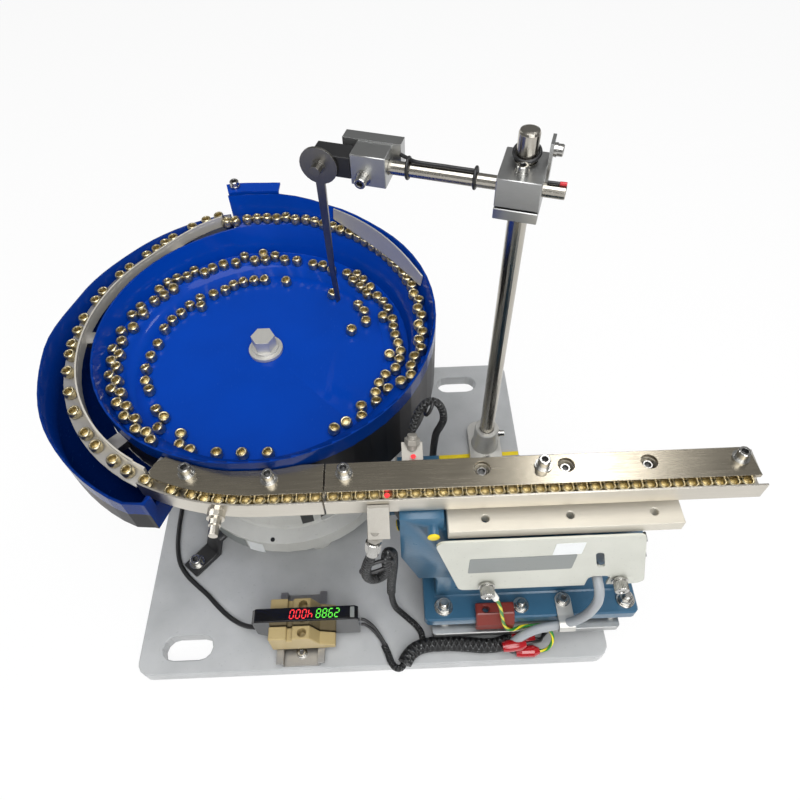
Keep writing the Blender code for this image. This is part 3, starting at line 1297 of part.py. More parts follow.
def build_cable_bracket(paint):
    """Anodised angle with a lug hole on the front edge of the foot block."""
    top = BLOCK_TOP_Z + GAP
    edge = BLOCK_FRONT - GAP
    outline = (
        (edge, BLOCK_TOP_Z - 9 * MM), (edge, top), (BLOCK_FRONT + 9 * MM, top), (BLOCK_FRONT + 9 * MM, top + 7 * MM),
        (BLOCK_FRONT + 1 * MM, top + 7 * MM), (edge - 4.5 * MM, top), (edge - 4.5 * MM, BLOCK_TOP_Z - 9 * MM),
    )  # fmt: skip
    mesh = bmesh.new()
    prism(mesh, outline, LUG_BRACKET_LEFT, LUG_BRACKET_LEFT + LUG_BRACKET_LENGTH, "X")
    node = solid("cable_bracket", mesh, paint)
    hole = bmesh.new()
    drum(hole, (LUG_BRACKET_LEFT + LUG_HOLE_IN, BLOCK_FRONT + 4.5 * MM, top - 4 * MM), 2.4 * MM, 16 * MM, sides=12)
    boolean(node, hole, "DIFFERENCE")
    return bevelled(node, 0.8 * MM)


# Amplifier


def build_din_rail(paint):
    half, crown, wall = RAIL_WIDTH / 2, RAIL_CROWN / 2, RAIL_THICK
    low, high = RAIL_BASE_Z, RAIL_CROWN_Z
    outline = (
        (-crown, low), (crown, low), (crown, high - wall), (half, high - wall), (half, high), (crown - wall, high),
        (crown - wall, low + wall), (-crown + wall, low + wall), (-crown + wall, high), (-half, high),
        (-half, high - wall), (-crown, high - wall),
    )  # fmt: skip
    mesh = bmesh.new()
    prism(mesh, [(RAIL_X + x, z) for x, z in outline], RAIL_FRONT, RAIL_BACK, "Y")
    node = solid("din_rail", mesh, paint)
    screw = bmesh.new()
    socket_screw(screw, (RAIL_X, RAIL_FRONT + 9 * MM, low + wall), height=2.4 * MM, washer=4 * MM)
    return boolean(node, screw, "UNION")


def build_end_brackets(paint):
    """Two moulded end stops that hold the amplifier between them, with a screw well in each."""
    low, high = RAIL_CROWN_Z + GAP, RAIL_CROWN_Z + BRACKET_HEIGHT
    half = RAIL_WIDTH / 2 + 3 * MM
    outline = (
        (-half, low), (half + 5 * MM, low), (half + 5 * MM, low + 5 * MM), (half - 6 * MM, low + 9 * MM),
        (half - 12 * MM, high), (-4 * MM, high), (-4 * MM, high - 4 * MM), (-8 * MM, high - 4 * MM), (-8 * MM, high),
        (-half, high),
    )  # fmt: skip
    reach = AMPLIFIER_DEPTH / 2 + GAP
    placed = [(RAIL_X + x, z) for x, z in outline]
    for name, start in (("front", AMPLIFIER_Y - reach - BRACKET_DEPTH), ("back", AMPLIFIER_Y + reach)):
        mesh = bmesh.new()
        prism(mesh, placed, start, start + BRACKET_DEPTH, "Y")
        node = solid(f"end_bracket_{name}", mesh, paint)
        well = bmesh.new()
        drum(well, (RAIL_X + 3 * MM, start + BRACKET_DEPTH / 2, high - 9 * MM), 3.1 * MM, 14 * MM, sides=12)
        boolean(node, well, "DIFFERENCE")
        bevelled(node, 0.5 * MM)


def build_amplifier(paint):
    low = RAIL_CROWN_Z + GAP
    high = low + AMPLIFIER_HEIGHT
    outline = (
        (AMPLIFIER_LEFT, low + 6 * MM), (AMPLIFIER_LEFT + 6 * MM, low), (AMPLIFIER_RIGHT - 6 * MM, low),
        (AMPLIFIER_RIGHT, low), (AMPLIFIER_RIGHT, high - 2 * MM), (AMPLIFIER_RIGHT - 2 * MM, high),
        (AMPLIFIER_LEFT + 2 * MM, high), (AMPLIFIER_LEFT, high - 2 * MM),
    )  # fmt: skip
    mesh = bmesh.new()
    half = AMPLIFIER_DEPTH / 2
    prism(mesh, outline, AMPLIFIER_Y - half, AMPLIFIER_Y + half, "Y")
    return bevelled(solid("fibre_amplifier", mesh, paint), 0.6 * MM)


# Post and level switch


def build_post(paint):
    mesh = bmesh.new()
    low = PLATE_TOP + GAP + FOOT_THICK + GAP
    length = POST_TOP_Z - low
    profile = ((0, 0), (POST_RADIUS, 0), (POST_RADIUS, length - 2 * MM), (POST_RADIUS - 0.6 * MM, length - 0.6 * MM),
               (POST_RADIUS - 2 * MM, length), (0, length))  # fmt: skip
    turned(mesh, profile, (POST_X, POST_Y, low), steps=24)
    return solid("post", mesh, paint)


def build_post_foot(paint):
    mesh = bmesh.new()
    low = PLATE_TOP + GAP
    half_x, half_y = FOOT_WIDTH / 2, FOOT_DEPTH / 2
    corners = (
        (POST_X - half_x, POST_Y - half_y), (POST_X + half_x, POST_Y - half_y),
        (POST_X + half_x, POST_Y + half_y), (POST_X - half_x, POST_Y + half_y),
    )  # fmt: skip
    prism(mesh, rounded(corners, 9 * MM, 4), low, low + FOOT_THICK)
    node = solid("post_foot", mesh, paint)
    bore = POST_RADIUS + GAP
    boss = bmesh.new()
    profile = (
        (bore, low + FOOT_THICK - 3 * MM), (FOOT_BOSS_RADIUS + 1.5 * MM, low + FOOT_THICK - 3 * MM),
        (FOOT_BOSS_RADIUS + 1.5 * MM, low + FOOT_THICK + 1 * MM), (FOOT_BOSS_RADIUS, low + FOOT_THICK + 3 * MM),
        (FOOT_BOSS_RADIUS, low + FOOT_BOSS_TOP - 1 * MM), (FOOT_BOSS_RADIUS - 1 * MM, low + FOOT_BOSS_TOP),
        (bore, low + FOOT_BOSS_TOP),
    )  # fmt: skip
    turned(boss, profile, (POST_X, POST_Y, 0), steps=24)
    boolean(node, boss, "UNION")
    screws = bmesh.new()
    for side in (-1, 1):
        seat = (POST_X, POST_Y + side * (half_y - 6 * MM), low + FOOT_THICK)
        socket_screw(screws, seat, height=3 * MM, washer=4.4 * MM)
    seat = (POST_X + FOOT_BOSS_RADIUS, POST_Y, low + 0.7 * FOOT_BOSS_TOP)
    socket_screw(screws, seat, axis=(1, 0, 0), head=2.6 * MM, height=5 * MM, washer=2.9 * MM)
    return boolean(node, screws, "UNION")


def build_cross_clamp(paint, joint):
    """Split block with a bore for the post and one for the arm, and a plate on its side."""
    mesh = bmesh.new()
    block(mesh, (-CLAMP_HALF, CLAMP_FRONT, CLAMP_LOW), (CLAMP_HALF, CLAMP_BACK, CLAMP_HIGH))
    node = solid("cross_clamp", mesh, paint, joint)
    bores = bmesh.new()
    drum(bores, (0, 0, CLAMP_LOW - 5 * MM), POST_RADIUS + SLIDE_FIT, CLAMP_HIGH - CLAMP_LOW + 10 * MM, sides=24)
    boolean(node, bores, "DIFFERENCE")
    arm = bmesh.new()
    drum(arm, (-CLAMP_HALF - 5 * MM, ARM_OFFSET, 0), ROD_RADIUS + SLIDE_FIT, 2 * CLAMP_HALF + 12 * MM, (1, 0, 0), 16)
    boolean(node, arm, "DIFFERENCE")
    slit = bmesh.new()
    low = CLAMP_LOW + 7 * MM
    block(slit, (-CLAMP_HALF - 5 * MM, CLAMP_FRONT - 5 * MM, low),
          (CLAMP_HALF + 5 * MM, -POST_RADIUS - 1.5 * MM, low + CLAMP_SLIT))  # fmt: skip
    boolean(node, slit, "DIFFERENCE")
    bevelled(node, 0.4 * MM)
    plate = bmesh.new()
    block(plate, (CLAMP_HALF - SEAT_SINK, -4 * MM, low + 6 * MM), (CLAMP_HALF + 1.5 * MM, 7 * MM, CLAMP_HIGH + 13 * MM))
    boolean(node, plate, "UNION")
    screws = bmesh.new()
    socket_screw(screws, (0, ARM_OFFSET, CLAMP_HIGH), washer=3.8 * MM, height=4 * MM)
    spot = (CLAMP_HALF + 1.5 * MM, 1.5 * MM, CLAMP_HIGH + 7 * MM)
    socket_screw(screws, spot, axis=(1, 0, 0), washer=3.8 * MM, height=4 * MM)
    return boolean(node, screws, "UNION")


def build_arm_rod(paint, joint):
    mesh = bmesh.new()
    drum(mesh, (ROD_LEFT, ARM_OFFSET, 0), ROD_RADIUS, ROD_RIGHT - ROD_LEFT, (1, 0, 0), 16)
    return bevelled(solid("arm_rod", mesh, paint, joint), 0.4 * MM)


def build_switch_block(paint, joint):
    """Block bored for the rod, with a screw in front and the bar that carries the switch behind."""
    mesh = bmesh.new()
    front, back = ARM_OFFSET - 8 * MM, ARM_OFFSET + 7 * MM
    block(mesh, (SWITCH_BLOCK_LEFT, front, -SWITCH_HALF), (SWITCH_BLOCK_RIGHT, back, SWITCH_HALF))
    node = solid("switch_block", mesh, paint, joint)
    bore = bmesh.new()
    depth = SWITCH_BLOCK_RIGHT - ROD_LEFT + 10 * MM
    drum(bore, (ROD_LEFT - GAP, ARM_OFFSET, 0), ROD_RADIUS + GAP, depth, (1, 0, 0), 16)
    boolean(node, bore, "DIFFERENCE")
    bevelled(node, 0.4 * MM)
    bar = bmesh.new()
    bar_left, bar_right = SWITCH_BLOCK_LEFT - 9 * MM, SWITCH_BLOCK_RIGHT + 5 * MM
    block(bar, (bar_left, back - SEAT_SINK, -5 * MM), (bar_right, back + 8 * MM, SWITCH_HALF + 1 * MM))
    boolean(node, bar, "UNION")
    screw = bmesh.new()
    socket_screw(screw, ((SWITCH_BLOCK_LEFT + SWITCH_BLOCK_RIGHT) / 2 - 3 * MM, front, -4 * MM), axis=(0, -1, 0))
    return boolean(node, screw, "UNION")


def build_micro_switch(paint, joint):
    mesh = bmesh.new()
    front = PADDLE_Y + PADDLE_SHEET + GAP + 0.3 * MM
    back = ARM_OFFSET + 7 * MM - SEAT_SINK - GAP
    block(mesh, (PADDLE_X - 5 * MM, front, -7 * MM), (SWITCH_BLOCK_LEFT - GAP, back, 6.5 * MM))
    return bevelled(solid("micro_switch", mesh, paint, joint), 0.5 * MM)


def build_paddle(paint, joint):
    """Disc with a tapered, slightly bent blade that hangs over the bowl's floor."""
    outline = []
    neck = math.degrees(math.asin(PADDLE_TOP_WIDTH / 2 / PADDLE_DISC))
    for i in range(25):
        turn = math.radians(-90 + neck + (360 - 2 * neck) * i / 24)
        outline.append((PADDLE_DISC * math.cos(turn), PADDLE_DISC * math.sin(turn)))
    knee = -0.72 * PADDLE_LENGTH
    half_top, half_tip = PADDLE_TOP_WIDTH / 2, PADDLE_TIP_WIDTH / 2
    blade = ((-half_tip - 0.4 * MM, knee), (-half_tip + 1.4 * MM, 0.97 * -PADDLE_LENGTH),
             (0.4 * MM, -PADDLE_LENGTH), (half_tip + 1.2 * MM, 0.97 * -PADDLE_LENGTH), (half_tip, knee))  # fmt: skip
    outline += [(-half_top, -PADDLE_DISC - 3 * MM), *blade, (half_top, -PADDLE_DISC - 3 * MM)]
    mesh = bmesh.new()
    made = prism(mesh, outline, 0, PADDLE_SHEET, "Y")
    bmesh.ops.translate(mesh, verts=made, vec=(0, PADDLE_Y, 0))
    node = solid("paddle", mesh, paint, joint)
    screw = bmesh.new()
    socket_screw(screw, (0, PADDLE_Y, 0), axis=(0, -1, 0), washer=4.2 * MM, height=5 * MM)
    return boolean(node, screw, "UNION")


# Sensors and leads


def build_sensor_heads(paint, joint):
    """Fibre heads on small angles, one in front of the track and one behind it."""
    front = TRACK_Y - GROOVE_WIDTH / 2 - LIP_THICK - GAP
    low, high = RAIL_BOTTOM_Z, RAIL_TOP_Z
    angle = ((front, low + 1 * MM), (front, low + 9 * MM), (front - 2 * MM, low + 9 * MM),
             (front - 15.5 * MM, low - 1 * MM), (front - 14.5 * MM, low - 3 * MM), (front - 2 * MM, low + 3 * MM))  # fmt: skip
    mesh = bmesh.new()
    prism(mesh, angle, 70 * MM, 82 * MM, "X")
    node = solid("sensor_head_front", mesh, paint, joint)
    barrel, nut = bmesh.new(), bmesh.new()
    axis = Vector((-0.08, -0.16, -1)).normalized()
    start = Vector((74 * MM, front - 11.2 * MM, low + 1 * MM))
    drum(barrel, start, 2.8 * MM, 9.2 * MM, axis, 16)
    drum(nut, start + axis * 3.6 * MM, 4.6 * MM, 3.4 * MM, axis, 6)
    boolean(node, barrel, "UNION")
    boolean(node, nut, "UNION")

    back = TRACK_BACK_Y + GAP
    angle = ((back, low), (back, high), (back + 1.6 * MM, high), (back + 12 * MM, high + 3 * MM),
             (back + 12 * MM, high + 1.4 * MM), (back + 1.6 * MM, high - 2 * MM), (back + 1.6 * MM, low))  # fmt: skip
    mesh = bmesh.new()
    prism(mesh, angle, 90 * MM, 102 * MM, "X")
    node = solid("sensor_head_rear", mesh, paint, joint)
    barrel, nut = bmesh.new(), bmesh.new()
    axis = Vector((0.05, 0.6, 1)).normalized()
    start = Vector((96 * MM, back + 8.4 * MM, high + 1 * MM))
    drum(barrel, start, 2.8 * MM, 9 * MM, axis, 16)
    drum(nut, start + axis * 3.4 * MM, 4.4 * MM, 3.4 * MM, axis, 6)
    boolean(node, barrel, "UNION")
    return boolean(node, nut, "UNION")


def build_crimp(paint):
    """Insulated connector lying on the plate under the lead's end, with the earth wire in it."""
    mesh = bmesh.new()
    end = Vector(EARTH_ROUTE[-1]) * MM
    profile = ((0, 0), (2.4 * MM, 0), (4.2 * MM, 4 * MM), (4.2 * MM, 13 * MM), (3.4 * MM, 17 * MM), (0, 17 * MM))
    turned(mesh, profile, end - Vector((2 * GAP, 0, 0)), (-1, 0, 0), 14)
    return solid("crimp_connector", mesh, paint)


def build_harness_boot(paint):
    """Heat-shrink boot on the harness's end, where the supply lead comes out."""
    mesh = bmesh.new()
    end, before = (Vector(HARNESS_ROUTE[i]) * MM for i in (-1, -2))
    axis = (end - before).normalized()
    turned(mesh, ((0, 0), (5.6 * MM, 0), (5.6 * MM, 9 * MM), (3.2 * MM, 15 * MM), (0, 15 * MM)),
           end + axis * GAP, axis, 16)  # fmt: skip
    return solid("harness_boot", mesh, paint)


def build_supply_plug(paint):
    """Round plug of the supply lead, lying on its coil."""
    mesh = bmesh.new()
    profile = ((0, 0), (4 * MM, 0), (7 * MM, 6 * MM), (7 * MM, 22 * MM), (5.6 * MM, 22 * MM), (5.6 * MM, 27 * MM),
               (0, 27 * MM))  # fmt: skip
    top = PLATE_TOP + GAP + SUPPLY_DIAMETER * SUPPLY_TURNS_HIGH + GAP
    spot = Vector((13.5 * MM, -SUPPLY_COIL_RADIUS, top + 7 * MM)) + Vector((*SUPPLY_COIL, 0))
    turned(mesh, profile, spot, (-1, 0, 0), 14)
    return solid("supply_plug", mesh, paint)


def build_amplifier_plug(paint):
    """Four-way plug on the amplifier's lead, lying against its coil."""
    mesh = bmesh.new()
    left = AMPLIFIER_COIL[0] + AMPLIFIER_COIL_RADIUS + AMPLIFIER_LEAD_DIAMETER * AMPLIFIER_TURNS_WIDE / 2 + GAP
    low, middle = PLATE_TOP + GAP, AMPLIFIER_COIL[1]
    block(mesh, (left, middle - 7 * MM, low), (left + 14 * MM, middle + 7 * MM, low + 8 * MM))
    return bevelled(solid("amplifier_plug", mesh, paint), 1 * MM)


def build_coil(name, centre, middle, diameter, wide, high, paint):
    mesh = bmesh.new()
    coil(mesh, centre, middle, diameter, wide, high)
    return solid(name, mesh, paint)


def main():
    for stale in list(bpy.data.objects):
        bpy.data.objects.remove(stale)
    grey = material("grey_paint", (0.50, 0.51, 0.53), 0.38)
    cast = material("cast_white", (0.66, 0.68, 0.68), 0.6)
    blue = material("bowl_blue", (0.0, 0.075, 0.42), 0.3)
    drive_blue = material("drive_blue", (0.05, 0.16, 0.28), 0.35)
    steel = material("brushed_steel", (0.56, 0.53, 0.49), 0.32, 1.0)
    bright = material("bright_steel", (0.72, 0.71, 0.69), 0.22, 1.0)
    spring = material("spring_steel", (0.12, 0.12, 0.13), 0.4, 1.0)
    alloy = material("alloy", (0.62, 0.63, 0.64), 0.42, 1.0)
    rubber = material("rubber", (0.02, 0.02, 0.02), 0.8)
    black = material("black_plastic", (0.012, 0.012, 0.014), 0.3)
    beige = material("beige_plastic", (0.55, 0.42, 0.22), 0.55)
    red_brown = material("anodised_red", (0.22, 0.05, 0.035), 0.4)
    red = material("crimp_red", (0.55, 0.01, 0.015), 0.25)
    copper = material("coil_copper", (0.45, 0.2, 0.1), 0.5, 0.6)
    grey_cord = material("grey_cord", (0.42, 0.44, 0.45), 0.45)
    green_cord = material("earth_cord", (0.1, 0.42, 0.06), 0.45)

    bowl_joint = joint_empty("bowl_joint", (0, 0, YOKE_Z))
    track_joint = joint_empty("track_joint", (leaf_x(UPPER_Z), TRACK_Y, UPPER_Z))
    clamp_joint = joint_empty("clamp_joint", (POST_X, POST_Y, ARM_Z), ARM_YAW)
    arm_joint = joint_empty("arm_joint", (POST_X, POST_Y, ARM_Z), ARM_YAW)
    across = Vector((math.cos(ARM_YAW), math.sin(ARM_YAW), 0)) * PADDLE_X
    paddle_joint = joint_empty("paddle_joint", Vector((POST_X, POST_Y, ARM_Z)) + across, ARM_YAW)

    build_base_plate(grey)
    build_drive_base(cast)
    build_clamps(black)
    build_drive_springs(spring)
    build_drive_coil(copper)
    build_drive_yoke(cast, bowl_joint)
    build_bowl(blue, bowl_joint)
    build_pan(blue, bowl_joint)
    build_centre_bolt(bright, bowl_joint)
    build_wiper(steel, bowl_joint)
    build_tab(blue, bowl_joint)
    build_rails(steel, bowl_joint)
    build_channel(steel, bowl_joint)
    build_channel_cover(steel, bowl_joint)

    build_riser(alloy)
    build_lower_casting(drive_blue)
    build_linear_springs(spring)
    build_linear_coil(copper)
    build_side_cover(grey)
    build_thumb_screws(bright)
    build_clip(alloy)
    build_cable_bracket(red_brown)
    build_upper_casting(drive_blue, track_joint)
    build_track_mount(steel, track_joint)
    build_track_rail(steel, track_joint)
    build_track_cover(steel, track_joint)
    build_sensor_heads(bright, track_joint)

    build_din_rail(bright)
    build_end_brackets(beige)
    build_amplifier(black)

    build_post(steel)
    build_post_foot(bright)
    build_cross_clamp(alloy, clamp_joint)
    build_arm_rod(steel, arm_joint)
    build_switch_block(alloy, arm_joint)
    build_micro_switch(black, arm_joint)
    build_paddle(steel, paddle_joint)

    cord("fibre_lead", FIBRE_ROUTE, FIBRE_DIAMETER, black)
    cord("harness", HARNESS_ROUTE, HARNESS_DIAMETER, black, spacing=0.8)
    cord("sensor_lead_front", SENSOR_FRONT_ROUTE, SENSOR_LEAD_DIAMETER, black, spacing=1.5)
    cord("sensor_lead_rear", SENSOR_REAR_ROUTE, SENSOR_LEAD_DIAMETER, black, spacing=2)
    cord("amplifier_lead", AMPLIFIER_LEAD_ROUTE, AMPLIFIER_LEAD_DIAMETER, black)
    cord("drive_lead", DRIVE_LEAD_ROUTE, DRIVE_LEAD_DIAMETER, grey_cord, spacing=0.9)
    cord("earth_wire", EARTH_ROUTE, EARTH_DIAMETER, green_cord)
    cord("switch_wire", SWITCH_WIRE_ROUTE, SWITCH_WIRE_DIAMETER, black, arm_joint)
    build_crimp(red)
    build_harness_boot(black)
    build_supply_plug(black)
    build_amplifier_plug(black)
    build_coil("supply_coil", SUPPLY_COIL, SUPPLY_COIL_RADIUS, SUPPLY_DIAMETER, SUPPLY_TURNS_WIDE,
               SUPPLY_TURNS_HIGH, black)  # fmt: skip
    build_coil("amplifier_coil", AMPLIFIER_COIL, AMPLIFIER_COIL_RADIUS, AMPLIFIER_LEAD_DIAMETER,
               AMPLIFIER_TURNS_WIDE, AMPLIFIER_TURNS_HIGH, black)  # fmt: skip


main()
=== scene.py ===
# %% [markdown]
# A vibratory bowl feeder shakes small brass cups up a spiral ledge, round the outside of its bowl and along a straight track.
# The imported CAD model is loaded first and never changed: every piece made here is laid over it in the same frame.

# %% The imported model
import math
from itertools import accumulate

import bpy
import numpy as np
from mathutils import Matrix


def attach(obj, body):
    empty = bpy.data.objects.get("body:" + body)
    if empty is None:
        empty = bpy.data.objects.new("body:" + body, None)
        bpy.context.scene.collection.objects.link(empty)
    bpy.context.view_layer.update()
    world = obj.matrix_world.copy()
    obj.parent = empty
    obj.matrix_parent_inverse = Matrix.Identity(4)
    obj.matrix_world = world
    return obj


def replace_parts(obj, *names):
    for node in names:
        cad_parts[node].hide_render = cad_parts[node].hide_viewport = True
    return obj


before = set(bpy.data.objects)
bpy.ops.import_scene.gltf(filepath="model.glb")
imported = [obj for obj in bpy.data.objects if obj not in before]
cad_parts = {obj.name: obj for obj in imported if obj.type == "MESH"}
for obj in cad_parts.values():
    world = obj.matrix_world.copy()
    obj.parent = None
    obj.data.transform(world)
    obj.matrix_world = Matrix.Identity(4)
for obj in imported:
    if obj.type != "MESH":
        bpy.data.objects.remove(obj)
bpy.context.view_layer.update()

MM = 0.001

# %% [markdown]
# The camera stands in front of the feeder and looks down at it at about 52 degrees.
# Its place and lens were worked out from the object's level and upright edges, so it is set from those numbers and not by eye.
# Its three axes are built as a rotation matrix, because that says the slight roll without a chain of Euler angles.

# %% Camera
CAMERA_PLACE = (0.0885, -0.306, 0.507)
CAMERA_PITCH, CAMERA_YAW, CAMERA_ROLL = np.radians((52.39, 0.455, -1.937))


def camera_axes(pitch, yaw, roll):
    """Right, up and backward axes: the forward axis is tipped down by pitch and turned by yaw, then the other two roll about it."""
    forward = np.array((np.sin(yaw) * np.cos(pitch), np.cos(yaw) * np.cos(pitch), -np.sin(pitch)))
    right = np.array((np.cos(yaw), -np.sin(yaw), 0))
    up = np.cross(right, forward)
    return (np.cos(roll) * right + np.sin(roll) * up, np.cos(roll) * up - np.sin(roll) * right, -forward)


lens = bpy.data.cameras.new("feeder_camera")
lens.lens, lens.sensor_width, lens.clip_start = 29.47, 36, 0.01
camera = bpy.data.objects.new("feeder_camera", lens)
bpy.context.scene.collection.objects.link(camera)
turn = np.eye(4)
turn[:3, :3] = np.array(camera_axes(CAMERA_PITCH, CAMERA_YAW, CAMERA_ROLL)).T
turn[:3, 3] = CAMERA_PLACE
from mathutils import Matrix
camera.matrix_world = Matrix(turn.tolist())
bpy.context.scene.camera = camera

# %% [markdown]
# A finish is a material made of nodes. A long chain of Math nodes is hard to read, so one small class wraps a socket
# and lets plus, minus, times and over add those nodes. A second class holds the material and adds every other node.

# %% Sockets that add up
class Value:
    """A number that varies over a surface, as the output socket of a node."""

    def __init__(self, finish, socket):
        self.finish, self.socket = finish, socket

    def join(self, operation, *others):
        return self.finish.node("ShaderNodeMath", {"operation": operation}, [self, *others])

    def __add__(self, other): return self.join("ADD", other)
    def __sub__(self, other): return self.join("SUBTRACT", other)
    def __mul__(self, other): return self.join("MULTIPLY", other)
    def __truediv__(self, other): return self.join("DIVIDE", other)
    def __rsub__(self, other): return self.finish.node("ShaderNodeMath", {"operation": "SUBTRACT"}, [other, self])
    def __gt__(self, other): return self.join("GREATER_THAN", other)
    def __lt__(self, other): return self.join("LESS_THAN", other)
    def clipped(self): return self.finish.node("ShaderNodeClamp", {}, [self])
    __radd__, __rmul__ = __add__, __mul__


class Finish:
    """A material with its Principled shader."""

    def __init__(self, name, colour=(0.8, 0.8, 0.8), **sockets):
        self.material = bpy.data.materials.new(name)
        self.material.use_nodes = True
        self.tree = self.material.node_tree
        self.shader = self.tree.nodes["Principled BSDF"]
        self.set("Base Color", colour)
        for socket, value in sockets.items():
            self.set(socket.replace("_", " "), value)
        self.place = self.node("ShaderNodeTexCoord", {}, {}, "Object")

    def node(self, kind, settings, sockets, output=0):
        """Adds a node of a kind, with its settings, then its inputs, and gives back one output."""
        made = self.tree.nodes.new(kind)
        for name, value in settings.items():
            setattr(made, name, value)
        for name, value in (sockets.items() if isinstance(sockets, dict) else enumerate(sockets)):
            self.feed(made.inputs[name], value)
        return Value(self, made.outputs[output])

    def feed(self, socket, value):
        if isinstance(value, Value):
            self.tree.links.new(value.socket, socket)
        elif hasattr(value, "__len__") and len(value) == 3 and socket.type == "RGBA":
            socket.default_value = (*value, 1)
        else:
            socket.default_value = value

    def set(self, name, value):
        self.feed(self.shader.inputs[name], value)
        return self

    def noise(self, scale, detail=3, stretch=(1, 1, 1), roughness=0.5):
        """Cloudy pattern from 0 to 1, whose grains are 1/scale metres across, drawn out where stretch is small."""
        place = self.node("ShaderNodeMapping", {}, {"Vector": self.place, "Scale": stretch})
        return self.node("ShaderNodeTexNoise", {}, {"Vector": place, "Scale": scale, "Detail": detail, "Roughness": roughness})

    def blend(self, share, first, second):
        """A colour between two, by share."""
        made = self.tree.nodes.new("ShaderNodeMix")
        made.data_type = "RGBA"
        for index, value in ((0, share), (6, first), (7, second)):
            self.feed(made.inputs[index], value)
        return Value(self, made.outputs[2])

    def steps(self, value, *stops):
        """A colour ramp: each stop is (position, colour)."""
        made = self.tree.nodes.new("ShaderNodeValToRGB")
        ramp = made.color_ramp
        while len(ramp.elements) < len(stops):
            ramp.elements.new(0.5)
        for element, (position, colour) in zip(ramp.elements, stops):
            element.position, element.color = position, (*colour, 1)
        self.feed(made.inputs[0], value)
        return Value(self, made.outputs[0])

    def relief(self, height, depth, edge=0.4 * MM):
        """Rounds sharp edges by a Bevel node and adds a bump of a depth in metres."""
        rounded = self.node("ShaderNodeBevel", {"samples": 4}, {"Radius": edge})
        bump = self.node("ShaderNodeBump", {}, {"Height": height, "Distance": depth, "Strength": 1.0, "Normal": rounded})
        return self.set("Normal", bump)


# %% [markdown]
# The feeder's finishes are few: powder paint, cast and polished metals, moulded plastics and cable sheaths.
# Each one gets its own grain at its real size: paint has a fine orange peel and cloudy soiling,
# a milled bar has fine lines along its length, and a casting has a coarse dimpled skin.

# %% Finishes of paint and plastic
def painted(name, colour, dark, roughness, peel=0.05, grain=900, coat=0.0):
    """Paint: two tones in soft clouds, small specks of dirt, and an orange peel of fine waves."""
    made = Finish(name, Coat_Weight=coat, Coat_Roughness=0.08)
    clouds = made.noise(28, 4)
    specks = made.noise(520, 2) > 0.7
    tone = made.blend((clouds - 0.35) * 1.6, colour, dark)
    made.set("Base Color", made.blend(specks * 0.3, tone, tuple(value * 0.55 for value in colour)))
    made.set("Roughness", (roughness + (clouds - 0.5) * 0.16).clipped())
    return made.relief(made.noise(grain, 2), peel * MM)


def brushed(name, colour, dark, roughness, stretch, depth=0.006, tone_scale=30, edge=0.35 * MM, metallic=1.0):
    """Ground metal: noise drawn out along the grinding direction gives fine lines in colour, gloss and height."""
    made = Finish(name, Metallic=metallic)
    lines = made.noise(2600, 4, stretch, 0.65)
    wide = made.noise(420, 3, stretch, 0.6)
    clouds = made.noise(tone_scale, 3)
    made.set("Base Color", made.blend((lines * 0.35 + wide * 0.35 + clouds * 0.5 - 0.15).clipped(), colour, dark))
    made.set("Roughness", (roughness + (lines - 0.5) * 0.22 + (clouds - 0.5) * 0.14).clipped())
    return made.relief(lines * 0.6 + wide * 0.4, depth * MM, edge)


plate_paint = painted("plate_paint", (0.47, 0.48, 0.485), (0.31, 0.32, 0.325), 0.34, 0.03, 700, 0.15)
casting_white = painted("casting_white", (0.62, 0.62, 0.585), (0.46, 0.46, 0.43), 0.42, 0.12, 420)
casting_blue = painted("casting_blue", (0.035, 0.115, 0.200), (0.022, 0.078, 0.140), 0.3, 0.10, 480, 0.1)
cover_paint = painted("cover_paint", (0.60, 0.605, 0.54), (0.50, 0.505, 0.45), 0.45, 0.02, 1400)
black_plastic = painted("black_plastic", (0.012, 0.012, 0.013), (0.02, 0.02, 0.021), 0.34, 0.03, 1500)
black_gloss = painted("black_gloss", (0.008, 0.008, 0.009), (0.014, 0.014, 0.015), 0.12, 0.004, 600, 0.5)
beige_plastic = painted("beige_plastic", (0.46, 0.355, 0.165), (0.36, 0.27, 0.115), 0.42, 0.03, 1200)
crimp_red = painted("crimp_red", (0.42, 0.006, 0.012), (0.26, 0.004, 0.008), 0.16, 0.02, 700, 0.6)
bracket_red = painted("bracket_red", (0.22, 0.028, 0.018), (0.15, 0.018, 0.012), 0.36, 0.03, 900, 0.15)
tape_yellow = painted("tape_yellow", (0.86, 0.66, 0.005), (0.74, 0.54, 0.005), 0.4, 0.03, 600)
label_white = painted("label_white", (0.80, 0.82, 0.82), (0.74, 0.76, 0.76), 0.35, 0.01, 1500)
label_grey = painted("label_grey", (0.22, 0.235, 0.225), (0.24, 0.26, 0.26), 0.4, 0.02, 1500)
sheath_grey = painted("sheath_grey", (0.36, 0.38, 0.40), (0.29, 0.31, 0.33), 0.36, 0.02, 800)
sleeve_white = painted("sleeve_white", (0.80, 0.80, 0.76), (0.7, 0.7, 0.66), 0.4, 0.02, 900)
wire_red = painted("wire_red", (0.55, 0.01, 0.02), (0.4, 0.01, 0.02), 0.35, 0.02, 900)

# %% [markdown]
# The metals differ by how they were cut. Grinding lines run along the track, the rails and the discs are polished,
# and the mount is milled dull. The metal's colour and roughness are read from the same lines as its relief.

